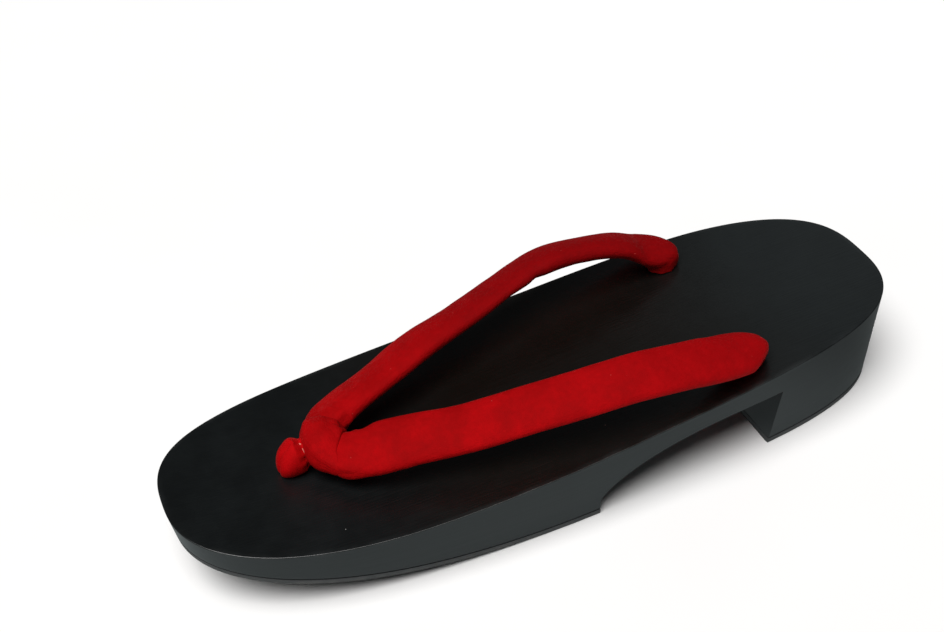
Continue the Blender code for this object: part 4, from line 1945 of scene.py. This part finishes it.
@dataclass(frozen=True)
class BlackRubber(DustyFinish):
    """Dull black sole rubber with a fine tooth and scuffed edges."""

    name: str = "black_rubber"
    dark: tuple = (0.034, 0.036, 0.037, 1.0)
    light: tuple = (0.050, 0.052, 0.053, 1.0)
    patch_scale: float = 70.0
    dust: tuple = (0.20, 0.19, 0.18, 1.0)
    dust_scale: float = 260.0
    scuffed: tuple = (0.085, 0.083, 0.079, 1.0)
    scuff_scale: float = 140.0
    tooth: float = 0.00010
    tooth_scale: float = 2600.0
    roughness: float = 0.55
    uneven: float = 0.12

    def build(self, effects: Effects) -> bpy.types.Material:
        """Build the material.

        Args:
            effects: The shared effects.

        Returns:
            The material.
        """
        material, sheet, shader = self.start()
        place = sheet.place()
        tone = self.tone(sheet, effects)
        edge_toned = sheet.group(effects.edge_wear_and_highlight, {
            "Place": place, "Edge": sheet.edge(), "Scale": self.scuff_scale,
            "Base": tone.outputs["Color"], "Worn And Highlit": self.scuffed,
        })
        dusty = self.dusted(sheet, effects, edge_toned.outputs["Color"])
        grain = sheet.noise(place, self.tooth_scale, 3.0)
        sheet.feed(shader.inputs["Base Color"], dusty.outputs["Color"])
        sheet.feed(shader.inputs["Roughness"], self.polish(sheet, tone.outputs["Value"]))
        sheet.feed(shader.inputs["Normal"], self.bump(sheet, grain, self.tooth, 0.5))
        return material


@dataclass(frozen=True)
class RedVelveteen(DustyFinish):
    """Bright red velveteen with a short brushed nap, and painted shade that darkens it to the rear and
    on the far half.
    """

    name: str = "red_velveteen"
    dark: tuple = (0.270, 0.0010, 0.0018, 1.0)
    light: tuple = (0.385, 0.0016, 0.0030, 1.0)
    patch_scale: float = 110.0
    dust: tuple = (0.62, 0.10, 0.09, 1.0)
    dust_scale: float = 420.0
    # Painted shade: a darker tone to the rear and a darker one on the far half, how much each shows, and
    # where each starts and is full across or along the sandal
    shaded: tuple = (0.205, 0.0012, 0.0030, 1.0)
    shaded_share: float = 0.40
    shaded_along: tuple = (-0.030, 0.070)
    painted_far_shade: tuple = (0.150, 0.0010, 0.0018, 1.0)
    painted_far_shade_share: float = 0.75
    painted_far_shade_across: tuple = (-0.004, -0.018)
    painted_far_shade_along: tuple = (-0.065, 0.010)
    # Nap
    nap: float = 0.00022
    nap_fineness: float = 1900.0
    nap_shade: float = 0.35
    fuzz_scale: float = 5200.0
    # Gloss
    roughness: float = 0.78
    sheen: float = 0.12
    sheen_roughness: float = 0.24
    sheen_tint: tuple = (1.0, 0.20, 0.18, 1.0)
    shine: float = 0.04

    def build(self, effects: Effects) -> bpy.types.Material:
        """Build the material.

        Args:
            effects: The shared effects.

        Returns:
            The material.
        """
        material, sheet, shader = self.start()
        place = sheet.place()
        across, along = sheet.axis(place, 0), sheet.axis(place, 1)
        tone = self.tone(sheet, effects)
        brushed = sheet.group(effects.streaks, {
            "Place": sheet.cloth_place(), "Stretch": (0.30, 1.0, 1.0), "Fineness": self.nap_fineness,
        }).outputs["Height"]
        # Painted shade: darker towards the heel, and darker again on the far half
        rearward = sheet.times(sheet.ramp(along, *self.shaded_along), self.shaded_share)
        color = sheet.mix(rearward, tone.outputs["Color"], self.shaded)
        far = sheet.times(sheet.ramp(across, *self.painted_far_shade_across), self.painted_far_shade_share)
        far = sheet.times(far, sheet.ramp(along, *self.painted_far_shade_along))
        color = sheet.mix(far, color, self.painted_far_shade)
        color = sheet.mix(sheet.times(brushed, self.nap_shade), color, self.dark)
        dusty = self.dusted(sheet, effects, color)
        sheet.feed(shader.inputs["Base Color"], dusty.outputs["Color"])
        sheet.feed(shader.inputs["Roughness"], self.polish(sheet, tone.outputs["Value"]))
        shader.inputs["Sheen Weight"].default_value = self.sheen
        shader.inputs["Sheen Roughness"].default_value = self.sheen_roughness
        shader.inputs["Sheen Tint"].default_value = self.sheen_tint
        shader.inputs["Specular IOR Level"].default_value = self.shine
        fuzz = sheet.noise(place, self.fuzz_scale, 2.0)
        under = self.bump(sheet, brushed, self.nap, 0.35)
        sheet.feed(shader.inputs["Normal"], self.bump(sheet, fuzz, self.nap, 0.45, under))
        return material


@dataclass(frozen=True)
class PaleThread(Finish):
    """Pale thread, twisted and a little glossy, with painted shade tinted by the cloth's red in its
    hollows.
    """

    name: str = "pale_thread"
    dark: tuple = (0.40, 0.06, 0.05, 1.0)
    light: tuple = (0.82, 0.26, 0.21, 1.0)
    twist: float = 0.00012
    twist_turn: float = 0.7
    twist_fineness: float = 5200.0
    roughness: float = 0.42
    uneven: float = -0.2

    def build(self, effects: Effects) -> bpy.types.Material:
        """Build the material.

        Args:
            effects: The shared effects.

        Returns:
            The material.
        """
        material, sheet, shader = self.start()
        # Painted shade, tinted with the cloth's red, in the hollows of the twist
        settings = {"Vector": sheet.cloth_place(), "Rotation": (0.0, 0.0, self.twist_turn)}
        strands = sheet.group(effects.streaks, {
            "Place": sheet.add("ShaderNodeMapping", settings).outputs[0],
            "Stretch": (0.2, 1.0, 1.0), "Fineness": self.twist_fineness,
        }).outputs["Height"]
        sheet.feed(shader.inputs["Base Color"], sheet.mix(strands, self.dark, self.light))
        sheet.feed(shader.inputs["Roughness"], self.polish(sheet, strands))
        sheet.feed(shader.inputs["Normal"], self.bump(sheet, strands, self.twist, 0.6))
        return material


@dataclass(frozen=True)
class PaleFloor(Finish):
    """Plain white floor, which shows greyer in the lacquer's reflections and clear from below."""

    name: str = "pale_floor"
    dark: tuple = (0.86, 0.86, 0.86, 1.0)
    light: tuple = (0.89, 0.89, 0.89, 1.0)
    patch_scale: float = 3.0
    roughness: float = 0.9
    # What reflections see: two greys, the second from the heel backwards, and how strongly they glow
    mirrored: tuple = (0.176, 0.200, 0.202, 1.0)
    mirrored_rear: tuple = (0.078, 0.088, 0.089, 1.0)
    rear_along: tuple = (0.065, 0.130)
    glow: float = 0.76

    def build(self, effects: Effects) -> bpy.types.Material:
        """Build the material.

        Args:
            effects: The shared effects.

        Returns:
            The material.
        """
        material, sheet, shader = self.start()
        tone = self.tone(sheet, effects)
        glossy = sheet.add("ShaderNodeLightPath", {}).outputs["Is Glossy Ray"]
        rearward = sheet.ramp(sheet.axis(sheet.place(), 1), *self.rear_along)
        mirrored = sheet.mix(rearward, self.mirrored, self.mirrored_rear)
        sheet.feed(shader.inputs["Base Color"], sheet.mix(glossy, tone.outputs["Color"], mirrored))
        sheet.feed(shader.inputs["Emission Color"], mirrored)
        sheet.feed(shader.inputs["Emission Strength"], sheet.times(glossy, self.glow))
        material.cycles.emission_sampling = "NONE"
        shader.inputs["Roughness"].default_value = self.roughness
        shader.inputs["Specular IOR Level"].default_value = 0.0
        below = sheet.add("ShaderNodeNewGeometry", {}).outputs["Backfacing"]
        clear = sheet.add("ShaderNodeBsdfTransparent", {})
        seen = sheet.add("ShaderNodeMixShader", {0: below, 1: shader.outputs[0], 2: clear.outputs[0]})
        sheet.feed(sheet.tree.nodes["Material Output"].inputs["Surface"], seen.outputs[0])
        return material


class SoftLight(NamedTuple):
    """A broad soft light that faces the sandal."""

    name: str
    kind: str
    place: tuple
    size: float  # side of a panel in metres, or angle of a light from afar in radians
    power: float
    color: tuple


@dataclass
class Studio:
    """Floor, lights, surroundings and camera."""

    floor_size: float = 6.0
    lights: tuple = (
        SoftLight("key_light", "SUN", (0.42, -0.48, 1.60), 0.70, 3.80, (1.0, 0.99, 0.98)),
        SoftLight("heel_panel", "AREA", (-0.95, 0.95, 0.95), 0.9, 0.54, (0.84, 0.97, 1.0)),
    )
    surroundings: float = 0.032
    backdrop: float = 1.0
    camera_place: tuple = (0.30198, -0.12769, 0.32404)
    camera_right: tuple = (0.38837, 0.91914, -0.06596)
    camera_up: tuple = (-0.56507, 0.29408, 0.77085)
    camera_lens: float = 53.389
    sensor: float = 36.0

    def floor(self, material: bpy.types.Material) -> bpy.types.Object:
        """Lay the floor under the soles.

        Args:
            material: The floor's finish.

        Returns:
            The floor.
        """
        half = self.floor_size / 2.0
        mesh = bmesh.new()
        corners = ((-half, -half), (half, -half), (half, half), (-half, half))
        mesh.faces.new([mesh.verts.new((x, y, 0.0)) for x, y in corners])
        floor = MeshMaker.finish("studio_floor", mesh, 30.0)
        floor.data.materials.append(material)
        return floor

    def hang_lights(self) -> None:
        """Hang the lights."""
        for panel in self.lights:
            data = bpy.data.lights.new(panel.name, panel.kind)
            if panel.kind == "SUN":
                data.angle = panel.size
            else:
                data.size = panel.size
            data.energy = panel.power
            data.color = panel.color
            lamp = bpy.data.objects.new(panel.name, data)
            lamp.location = panel.place
            lamp.rotation_euler = (-Vector(panel.place)).to_track_quat("-Z", "Y").to_euler()
            lamp.visible_camera = False
            bpy.context.scene.collection.objects.link(lamp)

    def surround(self) -> None:
        """Give dim surroundings to the reflections and a white backdrop to the camera."""
        world = bpy.data.worlds.new("studio")
        world.use_nodes = True
        sheet = NodeSheet(world.node_tree)
        seen = sheet.add("ShaderNodeLightPath", {}).outputs["Is Camera Ray"]
        dim = sheet.add("ShaderNodeBackground", {"Color": WHITE, "Strength": self.surroundings})
        white = sheet.add("ShaderNodeBackground", {"Color": WHITE, "Strength": self.backdrop})
        mixed = sheet.add("ShaderNodeMixShader", {0: seen, 1: dim.outputs[0], 2: white.outputs[0]})
        sheet.add("ShaderNodeOutputWorld", {"Surface": mixed.outputs[0]})
        bpy.context.scene.world = world

    def set_camera(self) -> bpy.types.Object:
        """Place the camera where the photograph was taken.

        Returns:
            The camera.
        """
        data = bpy.data.cameras.new("photo_camera")
        data.sensor_width = self.sensor
        data.lens = self.camera_lens
        data.clip_start = 0.01
        data.clip_end = 20.0
        data.dof.use_dof = False
        camera = bpy.data.objects.new("photo_camera", data)
        right = Vector(self.camera_right).normalized()
        up = Vector(self.camera_up).normalized()
        back = right.cross(up)
        turn = Matrix((right, up, back)).transposed().to_4x4()
        camera.matrix_world = Matrix.Translation(Vector(self.camera_place)) @ turn
        bpy.context.scene.collection.objects.link(camera)
        bpy.context.scene.camera = camera
        return camera

    def build(self, effects: Effects) -> None:
        """Set up the whole studio.

        Args:
            effects: The shared effects.
        """
        self.floor(PaleFloor().build(effects))
        self.hang_lights()
        self.surround()
        self.set_camera()
        bpy.context.scene.view_settings.view_transform = "Standard"


def main() -> None:
    """Build the sandal and its studio, piece by piece."""
    logging.basicConfig(level=logging.INFO, format="%(name)s: %(message)s")
    effects = Effects()
    lacquer = BlackLacquer().build(effects)
    rubber = BlackRubber().build(effects)
    velveteen = RedVelveteen().build(effects)
    # The nub's cloth is a lighter copy of the velveteen: painted light
    nub_painted_light_tones = {"dark": (0.330, 0.0012, 0.0022, 1.0), "light": (0.440, 0.0018, 0.0034, 1.0)}
    nub_painted_light_cloth = RedVelveteen("nub_velveteen", **nub_painted_light_tones).build(effects)
    band_cloth = RedVelveteen("band_velveteen", sheen=0.02).build(effects)
    thread = PaleThread().build(effects)
    form = BodyForm()
    body = WoodenBody(form)
    body.build(lacquer)
    front_end = form.arch_front() / form.length + 0.5
    heel_start = form.heel_face(form.sole_thickness) / form.length + 0.5
    RubberSole("front_rubber", "front_sole", form, 0.0, front_end).build(rubber)
    RubberSole("heel_rubber", "heel_sole", form, heel_start, 1.0).build(rubber)
    strap = PaddedStrap(form, body)
    strap.build(velveteen)
    thong = FrontThong(strap)
    thong.nub(nub_painted_light_cloth)
    thong.stem(velveteen)
    thong.band(band_cloth)
    thong.thread(thread)
    Studio().build(effects)
    log.info("the sandal is built")


if __name__ == "__main__":
    main()
